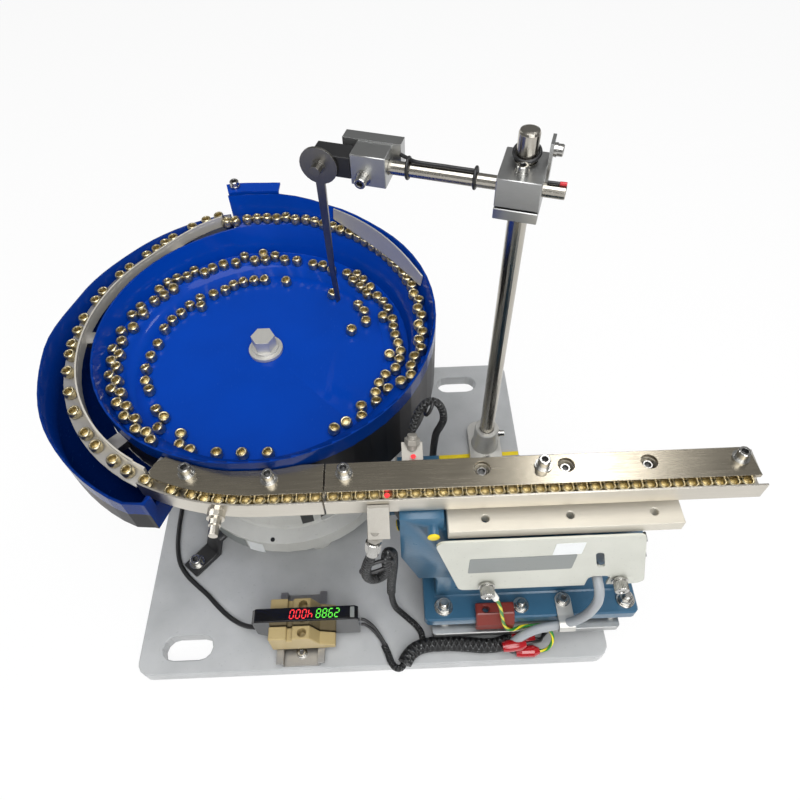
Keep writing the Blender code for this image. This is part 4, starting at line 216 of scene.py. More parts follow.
# %% Finishes of metal
track_steel = brushed("track_steel", (0.50, 0.45, 0.36), (0.30, 0.27, 0.21), 0.25, (0.02, 1, 1))
side_steel = brushed("side_steel", (0.74, 0.70, 0.62), (0.50, 0.47, 0.41), 0.34, (0.02, 1, 1))
mount_steel = brushed("mount_steel", (0.74, 0.70, 0.61), (0.58, 0.545, 0.47), 0.5, (0.05, 1, 1), 0.02, metallic=0.5)
rail_steel = brushed("rail_steel", (0.72, 0.69, 0.62), (0.52, 0.49, 0.43), 0.38, (1, 1, 1), 0.003, metallic=0.45)
screw_steel = brushed("screw_steel", (0.62, 0.61, 0.58), (0.34, 0.335, 0.32), 0.22, (1, 1, 1), 0.002, 200, 0.25 * MM)
post_steel = brushed("post_steel", (0.56, 0.53, 0.47), (0.34, 0.32, 0.28), 0.24, (1, 1, 0.03), 0.002)
dull_steel = brushed("dull_steel", (0.40, 0.39, 0.37), (0.24, 0.235, 0.23), 0.34, (1, 1, 1), 0.006, 90)
alloy = brushed("alloy", (0.52, 0.525, 0.52), (0.37, 0.375, 0.37), 0.36, (0.06, 1, 1), 0.008)
zinc = brushed("zinc", (0.70, 0.69, 0.65), (0.50, 0.49, 0.46), 0.42, (1, 0.05, 1), 0.004, metallic=0.6)
head_steel = brushed("head_steel", (0.40, 0.38, 0.34), (0.27, 0.255, 0.225), 0.5, (1, 1, 0.05), 0.006, metallic=0.4)
paddle_steel = brushed("paddle_steel", (0.28, 0.27, 0.25), (0.17, 0.165, 0.155), 0.34, (1, 1, 0.1), 0.006, 90)
spring_steel = brushed("spring_steel", (0.20, 0.20, 0.20), (0.10, 0.10, 0.10), 0.4, (1, 1, 0.05), 0.006)
brass = brushed("brass", (0.72, 0.64, 0.44), (0.48, 0.41, 0.25), 0.3, (1, 1, 0.3), 0.004, 160, 0.3 * MM)
copper = brushed("copper", (0.62, 0.26, 0.12), (0.40, 0.15, 0.07), 0.3, (1, 1, 0.02), 0.02)

# %% [markdown]
# The bowl is sheet metal welded together and coated glossy blue inside, with a blue band round the outside of its rim.
# Below the band the wall is bare dark steel. Two attributes carry where a point is: how far it lies below the rim,
# and whether it is on the outside. The finish reads them, so the border follows the rim as it climbs.
# A third attribute, shade, darkens the coat in the return pan towards its bottom: that darkening is painted shade.

# %% Blue coating of the bowl
def bowl_coating():
    """Deep blue gloss with fine scuffs and painted shade in the pan; bare dark steel on the outside, more than 11 mm
    below the rim.
    """
    made = Finish("bowl_coating", Coat_Roughness=0.03, Specular_IOR_Level=0.06)
    drop = made.node("ShaderNodeAttribute", {"attribute_name": "below_rim"}, {}, "Fac")
    outside = made.node("ShaderNodeAttribute", {"attribute_name": "outside"}, {}, "Fac")
    bare = ((drop + (made.noise(300, 2) - 0.5) * 0.0012) > 0.011) * (outside > 0.98)
    clouds = made.noise(14, 3)
    scuffs = made.noise(900, 5, (1, 0.25, 1), 0.7)
    scuffed = ((scuffs - 0.62) * 7).clipped() * ((clouds - 0.45) * 5).clipped()
    inside = made.blend((clouds - 0.3) * 1.4, (0.0006, 0.046, 0.37), (0.0006, 0.032, 0.26))
    # shade blends the coat towards near-black blue: painted shade in the pan
    shade = made.node("ShaderNodeAttribute", {"attribute_name": "shade"}, {}, "Fac")
    blue = made.blend(outside, made.blend(shade, inside, (0.0004, 0.006, 0.045)), (0.0008, 0.022, 0.15))
    worn = made.blend(scuffed * 0.12, blue, (0.04, 0.16, 0.50))
    rust = made.steps(made.noise(26, 4, (1, 1, 0.3)), (0.3, (0.02, 0.02, 0.022)), (0.55, (0.034, 0.033, 0.036)), (0.72, (0.06, 0.036, 0.03)))
    made.set("Base Color", made.blend(bare, worn, rust))
    made.set("Roughness", (0.26 + scuffed * 0.25 + bare * 0.16 + (clouds - 0.5) * 0.08).clipped())
    made.set("Metallic", bare * 0.75)
    made.set("Coat Weight", (0.2 - bare * 0.15).clipped())
    return made.relief(made.noise(240, 2) * (1 - bare) + scuffs * 0.1, 0.05 * MM, 0.7 * MM)


bowl_blue = bowl_coating()

# %% [markdown]
# Braided sleeve is woven from flat black threads in two directions, with a pale tracer thread here and there.
# The pattern follows the cord, so it reads the tube's own map: distance along the cord, and the way round it.

# %% Braid and two-colour earth wire
def braided(name, pitch, threads):
    """Two diagonal sets of ribs, from sines of the distance along plus and minus the turn, with rare pale threads."""
    made = Finish(name, Roughness=0.5)
    chart = made.node("ShaderNodeUVMap", {"uv_map": "run"}, {})
    parts = made.tree.nodes.new("ShaderNodeSeparateXYZ")
    made.feed(parts.inputs[0], chart)
    along, turn = Value(made, parts.outputs[0]) * (2 * math.pi / pitch), Value(made, parts.outputs[1]) * (2 * math.pi * threads)
    left, right = (along + turn).join("SINE"), (along - turn).join("SINE")
    over = left.join("MAXIMUM", right)
    pale = (made.noise(700, 1) > 0.64) * (over > 0.72)
    made.set("Base Color", made.blend(pale, made.blend((over * 0.5 + 0.4).clipped(), (0.002, 0.002, 0.0025), (0.016, 0.017, 0.018)), (0.16, 0.165, 0.165)))
    return made.relief(over, 0.35 * MM)


def two_coloured(name):
    """Earth wire: green with a yellow stripe that winds slowly round it."""
    made = Finish(name, Roughness=0.35)
    parts = made.tree.nodes.new("ShaderNodeSeparateXYZ")
    made.feed(parts.inputs[0], made.node("ShaderNodeUVMap", {"uv_map": "run"}, {}))
    stripe = (Value(made, parts.outputs[0]) * 60 + Value(made, parts.outputs[1]) * 2).join("FRACT") < 0.42
    made.set("Base Color", made.blend(stripe, (0.02, 0.22, 0.03), (0.72, 0.62, 0.02)))
    return made.relief(made.noise(900, 2), 0.02 * MM)


braid = braided("braid", 4 * MM, 4)
fine_braid = braided("fine_braid", 2.4 * MM, 3)
earth_sheath = two_coloured("earth_sheath")

# %% [markdown]
# Every piece ends as a plain mesh at the origin. One function does that work: it takes whole arrays of points and faces,
# closes seams by merging doubles, turns the faces outwards, and marks as sharp what bends more than a set angle.

# %% Putting a piece together
import bmesh


def placed(name, points, faces, finish, body, sharp=38, chart=None):
    """Makes a mesh piece from points and faces, smooth but for edges sharper than an angle, riding on a body."""
    mesh = bpy.data.meshes.new(name)
    mesh.from_pydata(np.asarray(points, float).reshape(-1, 3).tolist(), [], np.asarray(faces).tolist() if isinstance(faces, np.ndarray) else faces)
    if chart is not None:
        corners = np.zeros(len(mesh.loops), np.int32)
        mesh.loops.foreach_get("vertex_index", corners)
        mesh.uv_layers.new(name="run").data.foreach_set("uv", np.asarray(chart, np.float32)[corners].ravel())
    return finished(bpy.data.objects.new(name, mesh), finish, body, sharp)


def finished(piece, finish, body, sharp=38):
    """Merges doubles, points faces outwards, gives the finish and lets the piece ride."""
    work = bmesh.new()
    work.from_mesh(piece.data)
    bmesh.ops.remove_doubles(work, verts=work.verts, dist=1e-6)
    bmesh.ops.recalc_face_normals(work, faces=work.faces)
    work.to_mesh(piece.data)
    work.free()
    piece.data.shade_smooth()
    piece.data.set_sharp_from_angle(angle=math.radians(sharp))
    piece.data.materials.clear()
    piece.data.materials.append(finish.material)
    if piece.name not in bpy.context.scene.collection.objects:
        bpy.context.scene.collection.objects.link(piece)
    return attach(piece, body)


def grid_faces(rows, columns, closed=False):
    """Quads between neighbouring points of a grid, row after row; closed joins the last column to the first."""
    row, column = np.meshgrid(np.arange(rows - 1), np.arange(columns if closed else columns - 1), indexing="ij")
    after = (column + 1) % columns
    return np.stack((row * columns + column, row * columns + after, (row + 1) * columns + after, (row + 1) * columns + column), -1).reshape(-1, 4)


# %% [markdown]
# A cable is a round section carried along its route. The route is a smooth curve through a few points that lie
# where the CAD solid lies, and each ring of the tube stands square to it. The side direction of each ring is the
# one before it with its lean along the new direction taken out, so the tube never twists.

# %% Cables
def smooth(points, steps=12):
    """Catmull-Rom curve: between two points, a cubic whose slope at each is half the way between its neighbours."""
    through = np.array(points, float) * MM
    ends = np.vstack((2 * through[0] - through[1], through, 2 * through[-1] - through[-2]))
    before, start, stop, after = ends[:-3, None], ends[1:-2, None], ends[2:-1, None], ends[3:, None]
    t = (np.arange(steps) / steps)[None, :, None]
    curve = 0.5 * (2 * start + (stop - before) * t + (2 * before - 5 * start + 4 * stop - after) * t**2 + (3 * start - before - 3 * stop + after) * t**3)
    return np.vstack((curve.reshape(-1, 3), through[-1:]))


def run(path):
    """Distance along a path to each of its points."""
    return np.concatenate(([0], np.cumsum(np.linalg.norm(np.diff(path, axis=0), axis=1))))


def evenly(path, spacing):
    """The same path with points at an even spacing."""
    distance = run(path)
    marks = np.linspace(0, distance[-1], max(3, int(distance[-1] / spacing)))
    return np.stack([np.interp(marks, distance, path[:, axis]) for axis in range(3)], 1)


def tube(name, path, diameter, finish, body, sides=14):
    """Round tube: ring k is centre k plus the radius times cosine and sine of the turn along two square directions."""
    along = np.gradient(path, axis=0)
    along /= np.linalg.norm(along, axis=1)[:, None]
    def carried(side, direction):
        side = side - direction * side.dot(direction)
        return side / np.linalg.norm(side)
    first = carried(np.array((0.31, 0.12, 0.94)), along[0])
    side = np.array(list(accumulate(along[1:], carried, initial=first)))
    other = np.cross(along, side)
    turns = np.linspace(0, 2 * np.pi, sides + 1)
    rings = path[:, None] + diameter / 2 * (np.cos(turns)[None, :, None] * side[:, None] + np.sin(turns)[None, :, None] * other[:, None])
    chart = np.stack(np.broadcast_arrays(run(path)[:, None], (turns / 2 / np.pi)[None, :]), -1).reshape(-1, 2)
    faces = grid_faces(len(path), sides + 1).tolist()
    last = (len(path) - 1) * (sides + 1)
    faces += [list(range(sides))[::-1], [last + i for i in range(sides)]]
    return placed(name, rings, faces, finish, body, chart=chart)


def cable(name, node, path, diameter, finish, body="base"):
    """A cable in place of its CAD solids; its length is printed."""
    made = tube(name, path, diameter, finish, body)
    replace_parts(made, *([node] if isinstance(node, str) else node))
    print(name, "is", round(float(run(path)[-1]), 3), "m long")
    return made


# %% [markdown]
# The routes follow the cables from the object outwards: the optical fibre and the sensor leads run into a thick
# braided sleeve, the drive's grey cable goes down to its clip, and the amplifier's lead runs along the plate's edge.

# %% Routes on the plate
FIBRE_ROUTE = (
    (55.6, -141, 24), (58.5, -141.2, 23.4), (63, -143.4, 20), (68, -148, 16.2), (72, -154, 14.4),
    (74.6, -160.2, 14.6), (76.6, -166, 15.6), (79.4, -170.4, 16.8), (83.2, -171.6, 17.6), (86, -169.2, 18),
)
HARNESS_ROUTE = (
    (86.7, -168.2, 18), (89.6, -163.4, 17.8), (94.6, -159, 17.7), (102, -156.4, 17.7), (111, -155.8, 17.7),
    (122, -156, 17.7), (134, -157.2, 17.7), (146, -158.4, 17.7), (158, -157.4, 17.7), (169, -152.4, 17.7),
    (177, -144, 17.7), (181, -133, 17.7), (180.4, -121, 17.7), (175.4, -111.4, 17.7), (167, -105, 17.7),
    (157, -99.6, 17.7), (149.4, -92.6, 17.7), (145.6, -83.6, 17.7), (145.4, -76, 17.7), (146.6, -68.5, 17.7),
    (149.07, -62.04, 17.7),
)
SENSOR_FRONT_ROUTE = (
    (72.6, -147.2, 175), (72.4, -149, 170.5), (70.2, -151.4, 163), (67.4, -152.6, 153), (66.6, -152.4, 142),
    (68.4, -151.4, 133.5), (72.4, -150, 129.6), (76.6, -148.6, 132), (78.8, -147.6, 139.5), (78.4, -146.4, 147.5),
    (79.4, -144, 152), (82.2, -142.4, 148), (82.6, -142, 138), (82, -141.4, 124), (81, -140, 108), (80, -138, 90),
    (79.4, -135.4, 70), (79.6, -132.6, 50), (80.4, -130.6, 34), (82.2, -130, 22.6), (86, -131.6, 16.8),
    (91, -135.6, 14.8), (96, -140.4, 14.7), (99.4, -145.4, 14.7), (100.6, -150.6, 14.8),
)
SENSOR_REAR_ROUTE = (
    (96.6, -93.4, 202.6), (98, -90.6, 207), (101, -87, 213), (105.6, -84.4, 216.6), (110.6, -83.6, 215),
    (114, -84.2, 208.6), (115, -84.6, 200), (113.6, -82.6, 190), (111.6, -79.4, 178), (110.6, -77.4, 160),
    (110.2, -76.6, 140), (110, -75.6, 118), (109.8, -74, 96), (110.4, -71.8, 74), (112, -69.2, 54),
    (115.4, -67.4, 36), (120, -69, 22), (126.4, -73.4, 15.6), (133, -78, 14.8), (139.8, -79.4, 14.8),
)
AMPLIFIER_LEAD_ROUTE = (
    (-20.5, -140.6, 25), (-25, -139.8, 24.2), (-31, -137.4, 20.6), (-38, -133.2, 16.2), (-46, -127.6, 14.3),
    (-55, -119.6, 14.2), (-64.5, -110, 14.2), (-74.5, -101.4, 14.2), (-83.6, -92.8, 14.2), (-90.8, -82, 14.2),
    (-94.8, -68, 14.2), (-96.6, -52, 14.2), (-97, -38, 14.2), (-97.6, -22, 14.2), (-98.8, -8, 14.2), (-101, 5, 14.2),
    (-103.6, 16, 14.2), (-105.4, 26, 14.2), (-106, 35.6, 14.2),
)
DRIVE_LEAD_ROUTE = (
    (211, -130.5, 106), (211, -136, 106), (211, -143, 106), (211.2, -149, 105.2), (211.8, -153, 102), (212.4, -155, 96),
    (212.8, -155.6, 88), (212.6, -155.4, 78), (211.6, -155, 68), (209.6, -154.4, 58.8), (206.4, -153.8, 50.6),
    (201.4, -153.4, 44.4), (195.4, -153.4, 41), (188.6, -153.6, 38.8), (181, -154.3, 36.2), (174, -155.8, 32.8),
    (168.6, -157.8, 29), (165, -159.4, 25.6),
)
EARTH_ROUTE = (
    (146.6, -153, 97.4), (149.4, -154, 89), (151.6, -154.8, 79), (153.2, -155.3, 69.4), (154.8, -155.6, 60), (156.8, -155.7, 51.4),
    (159.2, -155.5, 44.6), (162.6, -154.6, 39), (166.8, -152.6, 35), (171.8, -150.4, 32.6), (180, -149.6, 31.6),
    (187.5, -149.8, 31.7), (191.5, -153.4, 31.4), (193.5, -157.2, 28.4), (193, -160.5, 23.8), (190.4, -162.8, 19.6),
    (187.6, -163.4, 17.7), (185, -163.5, 17.3),
)

# %% [markdown]
# What the picture doesn't show of a cable is wound into a coil, as for storage. In a coil each turn keeps one radius
# and moves to the next one in a short bend, and a layer starts by climbing one diameter. Both moves are the same
# smooth step from 0 to 1, worked out for all points at once.

# %% Coils
def eased(share):
    share = np.clip(share, 0, 1)
    return share * share * (3 - 2 * share)


def wound(centre, radii, levels, start, stop, points=26):
    """Clockwise turns from start degrees down to stop degrees: turn k has radius and level k of the lists."""
    turns = np.arange(0, (start - stop) / 360, 1 / points)
    k = np.floor(turns).astype(int)
    phase = turns - k
    after = np.minimum(k + 1, len(radii) - 1)
    radii, levels = np.array(radii, float), np.array(levels, float)
    jog, climb = eased((phase - 290 / 360) / (70 / 360)), eased((phase - 230 / 360) / (60 / 360))
    radius = radii[k] + (radii[after] - radii[k]) * jog
    angle = np.radians(start - 360 * turns)
    return np.stack((centre[0] + radius * np.cos(angle), centre[1] + radius * np.sin(angle), levels[k] + (levels[after] - levels[k]) * climb), 1)


def snake(inwards, levels):
    """Radii and levels turn by turn, each layer wound the other way from the one below."""
    radii = [radius for i in range(len(levels)) for radius in (inwards if i % 2 == 0 else inwards[::-1])]
    return radii, [level for level in levels for _ in inwards]


# %% The cables themselves
boot_end = np.array((149.07, -62.04, 17.7)) + 15 * np.array((0.358, 0.934, 0))
supply_turns = wound((191, -40), *snake((31.25, 25.75), (15.05, 20.55, 26.05, 31.55)), 159, 30 - 7 * 360)
sweep = np.linspace(24, -58, 9)
rising = np.stack((191 + 31.3 * np.cos(np.radians(sweep)), -40 + 31.3 * np.sin(np.radians(sweep)), 31.55 + 9.6 * eased((24 - sweep) / 84)), 1)
supply_path = np.vstack((boot_end[None], np.array(((156.4, -43.1, 16.4), (159.2, -35.8, 15.3))), supply_turns, rising, ((205.4, -68.2, 41.5), (203.6, -68.5, 41.6))))
cable("supply_lead", "supply_coil", evenly(smooth(supply_path, 4), 3.2 * MM), 5.5 * MM, black_plastic)
amplifier_turns = wound((-84, 50), *snake((22.6, 19, 15.4), (14.1, 17.7, 21.3, 24.9)), 180, 60 - 11 * 360)
amplifier_path = np.vstack((np.array(AMPLIFIER_LEAD_ROUTE), ((-106.4, 42, 14.1),), amplifier_turns, ((-66.5, 67.4, 23), (-60.6, 65.6, 20), (-55.6, 62.4, 17), (-52.6, 57.6, 16.3))))
cable("amplifier_cable", ["amplifier_lead", "amplifier_coil"], evenly(smooth(amplifier_path, 4), 2.2 * MM), 3.6 * MM, black_plastic)
cable("harness_sleeve", "harness", evenly(smooth(HARNESS_ROUTE), 2 * MM), 10.5 * MM, braid)
cable("optical_fibre", "fibre_lead", evenly(smooth(FIBRE_ROUTE), 1 * MM), 2.2 * MM, black_plastic)
cable("front_sensor_lead", "sensor_lead_front", evenly(smooth(SENSOR_FRONT_ROUTE), 1.4 * MM), 4.5 * MM, fine_braid)
cable("rear_sensor_lead", "sensor_lead_rear", evenly(smooth(SENSOR_REAR_ROUTE), 1.4 * MM), 4.5 * MM, fine_braid)
cable("drive_cable", "drive_lead", evenly(smooth(DRIVE_LEAD_ROUTE), 1.6 * MM), 6.5 * MM, sheath_grey)
cable("earth_lead", "earth_wire", evenly(smooth(EARTH_ROUTE), 1 * MM), 2.4 * MM, earth_sheath)

# %% [markdown]
# The level switch's wire runs along the arm, so its route is written in the arm's own directions and turned with it.

# %% Wire on the arm
ARM_YAW = math.radians(-18)


def on_arm(points):
    """Turns points written along the arm by its yaw about the post, and lifts them to its height. In mm."""
    points = np.asarray(points, float)
    x, y = points[..., 0], points[..., 1]
    return np.stack((165.3 + x * math.cos(ARM_YAW) - y * math.sin(ARM_YAW), 18 + x * math.sin(ARM_YAW) + y * math.cos(ARM_YAW), 292 + points[..., 2]), -1)


SWITCH_WIRE_ROUTE = (
    (-69.6, -9, 5.6), (-66, -11, 5.6), (-60, -13.6, 5.5), (-52, -14, 5.5), (-44, -13.9, 5.5), (-36, -14, 5.5),
    (-30, -14, 5.5), (-24, -14, 5.5),
)
cable("arm_wire", "switch_wire", evenly(smooth(on_arm(SWITCH_WIRE_ROUTE)), 1 * MM), 2.2 * MM, black_plastic, body="arm_body")

# %% [markdown]
# Most pieces of the feeder are machined, cast or bent, and their CAD shapes are right. They keep their meshes and
# get a finish. The Bevel node in each finish rounds their edges where light catches them.

# %% Finishes of the CAD pieces
CAD_FINISHES = {
    plate_paint: ("base_plate",),
    casting_white: ("drive_base", "drive_yoke"),
    black_plastic: ("micro_switch", "harness_boot", "supply_plug", "amplifier_plug"),
    spring_steel: ("drive_spring_1", "drive_spring_2", "drive_spring_3", "drive_spring_4"),
    copper: ("drive_coil",),
    zinc: ("wiper_blade", "centre_bolt"),
    track_steel: ("channel_cover", "track_cover"),
    side_steel: ("discharge_channel", "track_rail"),
    mount_steel: ("track_mount",),
    alloy: ("riser_plate",),
    head_steel: ("sensor_head_front", "sensor_head_rear"),
    paddle_steel: ("paddle",),
    bracket_red: ("cable_bracket",),
    crimp_red: ("crimp_connector",),
    beige_plastic: ("end_bracket_front", "end_bracket_back"),
    black_gloss: ("fibre_amplifier",),
    post_steel: ("post", "arm_rod"),
}
for finish, names in CAD_FINISHES.items():
    for name in names:
        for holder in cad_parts[name].material_slots:
            holder.material = finish.material
print(sum(map(len, CAD_FINISHES.values())), "CAD pieces have a finish")

# %% [markdown]
# The bowl, its pan and its tab keep their CAD shapes too, but the finish of the bowl and the pan needs to know the rim.
# A copy of each of these two meshes gets the two attributes. The rim climbs and widens round the bowl, so both are
# functions of the angle.

# %% The rim as a function of the angle
RIM_RADIUS_AT = ((105, 0), (180, 0), (225, 0.006), (250, 0.028), (270, 0.171), (285, 0.282), (300, 0.326), (330, 0.392), (405, 0.42), (435, 0.558), (450, 0.779), (465, 1))
RIM_RISE_AT = ((105, 0.059), (115, 0), (180, 0), (225, 0.118), (250, 0.294), (270, 0.529), (300, 0.588), (405, 0.706), (430, 0.824), (438, 1), (465, 1))
PAN_RADIUS_AT = ((105, 0), (112, 0.116), (140, 0.207), (163, 0.39), (185, 0.756), (215, 0.939), (243, 1), (249, 0.756))


def shares(table, angle):
    """Share at each angle of a table, eased between its entries by a smooth step."""
    table = np.array(table)
    place = np.clip(np.searchsorted(table[:, 0], angle, side="right") - 1, 0, len(table) - 2)
    first, second = table[place], table[place + 1]
    return first[..., 1] + (second[..., 1] - first[..., 1]) * eased((angle - first[..., 0]) / (second[..., 0] - first[..., 0]))


def rim_radius(angle):
    return (108.9 + 18.1 * shares(RIM_RADIUS_AT, angle)) * MM


def rim_height(angle):
    return (195 + 17 * shares(RIM_RISE_AT, angle)) * MM


def copied(node, name, finish, body, sharp=38):
    """A merged copy of a CAD piece, which stands for it."""
    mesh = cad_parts[node].data.copy()
    made = finished(bpy.data.objects.new(name, mesh), finish, body, sharp)
    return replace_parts(made, node)


def marked(piece, below, outside, shade):
    """Stores three numbers at each point: distance below the rim, whether it is outside, and how much painted shade
    darkens the coat.
    """
    for name, values in (("below_rim", below), ("outside", outside), ("shade", np.broadcast_to(shade, len(below)))):
        piece.data.attributes.new(name, "FLOAT", "POINT").data.foreach_set("value", np.asarray(values, np.float32))


def points_of(piece):
    points = np.zeros(len(piece.data.vertices) * 3)
    piece.data.vertices.foreach_get("co", points)
    return points.reshape(-1, 3)


spiral = copied("bowl", "spiral_bowl", bowl_blue, "bowl_body", 32)
where = points_of(spiral)
radius, angle = np.hypot(where[:, 0], where[:, 1]), (np.degrees(np.arctan2(where[:, 1], where[:, 0])) - 105) % 360 + 105
even = spiral.modifiers.new("even", "WEIGHTED_NORMAL")
even.keep_sharp = True
marked(spiral, rim_height(angle) - where[:, 2], radius > rim_radius(angle) - 0.3 * MM, 0)
pan = copied("return_pan", "blue_pan", bowl_blue, "bowl_body", 32)
where = points_of(pan)
radius, angle = np.hypot(where[:, 0], where[:, 1]), np.degrees(np.arctan2(where[:, 1], where[:, 0])) % 360
# The pan's coat is darkened more the lower it lies: painted shade.
marked(pan, 0.195 - where[:, 2], radius > (127.6 + 16.4 * shares(PAN_RADIUS_AT, angle) - 0.6) * MM, np.clip(0.5 + (0.1955 - where[:, 2]) / 0.03, 0, 0.9))
print("bowl and pan have", len(spiral.data.polygons) + len(pan.data.polygons), "faces")

# %% [markdown]
# Socket cap screws hold the covers. A real one has a knurled cylindrical head with a hexagonal socket, a split washer
# and a flat washer under it. The whole screw is one profile turned about its axis, except that the socket's rings
# change from a circle to a hexagon, which is a radius that depends on the angle.

# %% Cap screws
def turned(profile, steps=28, sixes=()):
    """Points of (radius, height) rows turned about Z. Rows listed in sixes follow a hexagon of that half width."""
    angle = np.linspace(0, 2 * np.pi, steps, endpoint=False)
    profile = np.array(profile, float)
    radius = np.repeat(profile[:, :1], steps, 1)
    hexagon = 1 / np.cos((angle + np.pi / 6) % (np.pi / 3) - np.pi / 6)
    radius[list(sixes)] *= hexagon
    points = np.stack((radius * np.cos(angle), radius * np.sin(angle), np.repeat(profile[:, 1:], steps, 1)), -1)
    return points.reshape(-1, 3), grid_faces(len(profile), steps, closed=True)


def standing(points, faces, seats, axes=None, turns=None):
    """Copies of one shape on many seats: each copy's Z is turned onto its axis, all by one product of arrays."""
    seats = np.atleast_2d(np.asarray(seats, float))
    axis = np.broadcast_to(np.asarray((0, 0, 1) if axes is None else axes, float), seats.shape)
    axis = axis / np.linalg.norm(axis, axis=1)[:, None]
    turns = np.zeros(len(seats)) if turns is None else np.asarray(turns, float)
    guide = np.where(np.abs(axis[:, 2:]) > 0.9, (1.0, 0.0, 0.0), (0.0, 0.0, 1.0))
    x = np.cross(guide, axis)
    x /= np.linalg.norm(x, axis=1)[:, None]
    y = np.cross(axis, x)
    c, s = np.cos(turns)[:, None], np.sin(turns)[:, None]
    frames = np.stack((x * c + y * s, y * c - x * s, axis), 1)
    made = np.einsum("pk,nkj->npj", points, frames) + seats[:, None]
    numbers = (faces[None] + (np.arange(len(seats)) * len(points))[:, None, None]).reshape(-1, faces.shape[1])
    return made.reshape(-1, 3), numbers


def cap_screw(head=3.4, height=5.0, washer=4.8, flat=1.0, key=1.55):
    """Flat washer, split washer, head with a chamfer, and a socket down to two thirds of the head. In mm."""
    low, top = flat + 0.9, flat + 0.9 + height
    return (
        (0, 0), (washer, 0), (washer, flat), (head + 0.5, flat), (head + 0.5, low), (head, low), (head, top - 0.5), (head - 0.5, top),
        (key + 0.35, top), (key, top - 0.35), (key, top - 0.66 * height), (0, top - 0.66 * height),
    )


def fasteners(name, profile, sixes, seats, finish, body, axes=None, twist=None):
    """One turned fastener copied to every seat, each turned differently, because nobody lines sockets up."""
    points, faces = turned(profile, sixes=sixes)
    turns = np.linspace(0.2, 2.5, len(seats)) if twist is None else twist
    made, numbers = standing(points, faces, seats, axes, turns)
    return placed(name, made * MM, numbers, finish, body, 30)


def repainted(piece, finish, chosen):
    """Gives the faces whose centres are chosen a second finish."""
    centres = np.zeros(len(piece.data.polygons) * 3)
    piece.data.polygons.foreach_get("center", centres)
    piece.data.materials.append(finish.material)
    piece.data.polygons.foreach_set("material_index", chosen(centres.reshape(-1, 3)).astype(np.int32))
    return piece


def screws(name, seats, finish=screw_steel, body="base", axes=None, twist=None, key=1.55, **sizes):
    """Cap screws whose sockets get painted shade: faces near the axis, inside the head, are dark."""
    made = fasteners(name, cap_screw(key=key, **sizes), (9, 10), seats, finish, body, axes, twist)
    seats = np.atleast_2d(np.asarray(seats, float))
    axis = np.broadcast_to(np.asarray((0, 0, 1) if axes is None else axes, float), seats.shape)
    axis = axis / np.linalg.norm(axis, axis=1)[:, None]

    def in_socket(centres):
        away = centres[:, None] / MM - seats
        rise = (away * axis).sum(2)
        return ((np.linalg.norm(away - rise[..., None] * axis, axis=2) < key * 1.16) & (rise > 1.2)).any(1)

    # The dark finish in the socket is painted shade of the recess.
    return repainted(made, spring_steel, in_socket)


# %% [markdown]
# In the CAD model a screw is one solid with what it holds. Here the carrier is copied without it: triangles that have
# a corner above the seat, close to the screw's axis, are left out, and the round hole that stays is filled.
# A bore is closed the same way, by leaving out the triangles that lie wholly within its radius.

# %% Carriers without their screws
def bare(node, name, finish, body, seats, reach, axes=(0, 0, 1), bores=False):
    """Copy of a carrier without the screws on its seats, or with the bores there closed. Seats and reach in mm."""
    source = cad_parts[node].data
    source.calc_loop_triangles()
    corners = np.zeros(len(source.loop_triangles) * 3, np.int32)
    source.loop_triangles.foreach_get("vertices", corners)
    corners, points = corners.reshape(-1, 3), points_of(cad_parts[node])
    seats = np.atleast_2d(np.asarray(seats, float)) * MM
    axes = np.broadcast_to(np.asarray(axes, float), seats.shape)
    axes = axes / np.linalg.norm(axes, axis=1)[:, None]
    away = points[:, None] - seats
    rise = (away * axes).sum(2)
    near = np.linalg.norm(away - rise[..., None] * axes, axis=2) < reach * MM
    near = near if bores else near & (rise > 0.02 * MM)
    gone = near.any(1)[corners]
    kept, corners = np.unique(corners[~(gone.all(1) if bores else gone.any(1))], return_inverse=True)
    mesh = bpy.data.meshes.new(name)
    mesh.from_pydata(points[kept].tolist(), [], corners.reshape(-1, 3).tolist())
    work = bmesh.new()
    work.from_mesh(mesh)
    bmesh.ops.remove_doubles(work, verts=work.verts, dist=1e-6)
    bmesh.ops.holes_fill(work, edges=work.edges)
    bmesh.ops.dissolve_limit(work, angle_limit=0.002, verts=work.verts, edges=work.edges)
    work.to_mesh(mesh)
    work.free()
    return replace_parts(finished(bpy.data.objects.new(name, mesh), finish, body), node)


COVER_TOP = 197.2
CHUTE_SEATS = [(-29.4, -112.6, COVER_TOP), (16.7, -118.7, COVER_TOP)]
TRACK_SEATS = [(x, -117, COVER_TOP) for x in (57.8, 167.7, 276.9)]
bare("channel_cover", "chute_cover", track_steel, "bowl_body", CHUTE_SEATS, 5.2)
bare("track_cover", "straight_cover", track_steel, "track_body", TRACK_SEATS, 5.2)
screws("chute_screws", CHUTE_SEATS, body="bowl_body")
screws("track_screws", TRACK_SEATS, body="track_body")
screws("sunk_screws", [(x, -117, 190.3) for x in (134, 180.5, 226.5)], body="track_body", height=2.6, washer=4.2, flat=0.3, head=3.1)

# %% [markdown]
# The same two functions serve the arms that hold the round drive down, the rail under the amplifier, the post's foot,
# the cross clamp, the switch block and the tab on the bowl. The screws of the arm are turned with it.

# %% Screws on the plate and the arm
def polar(radius, degrees, height):
    return (radius * math.cos(math.radians(degrees)), radius * math.sin(math.radians(degrees)), height)


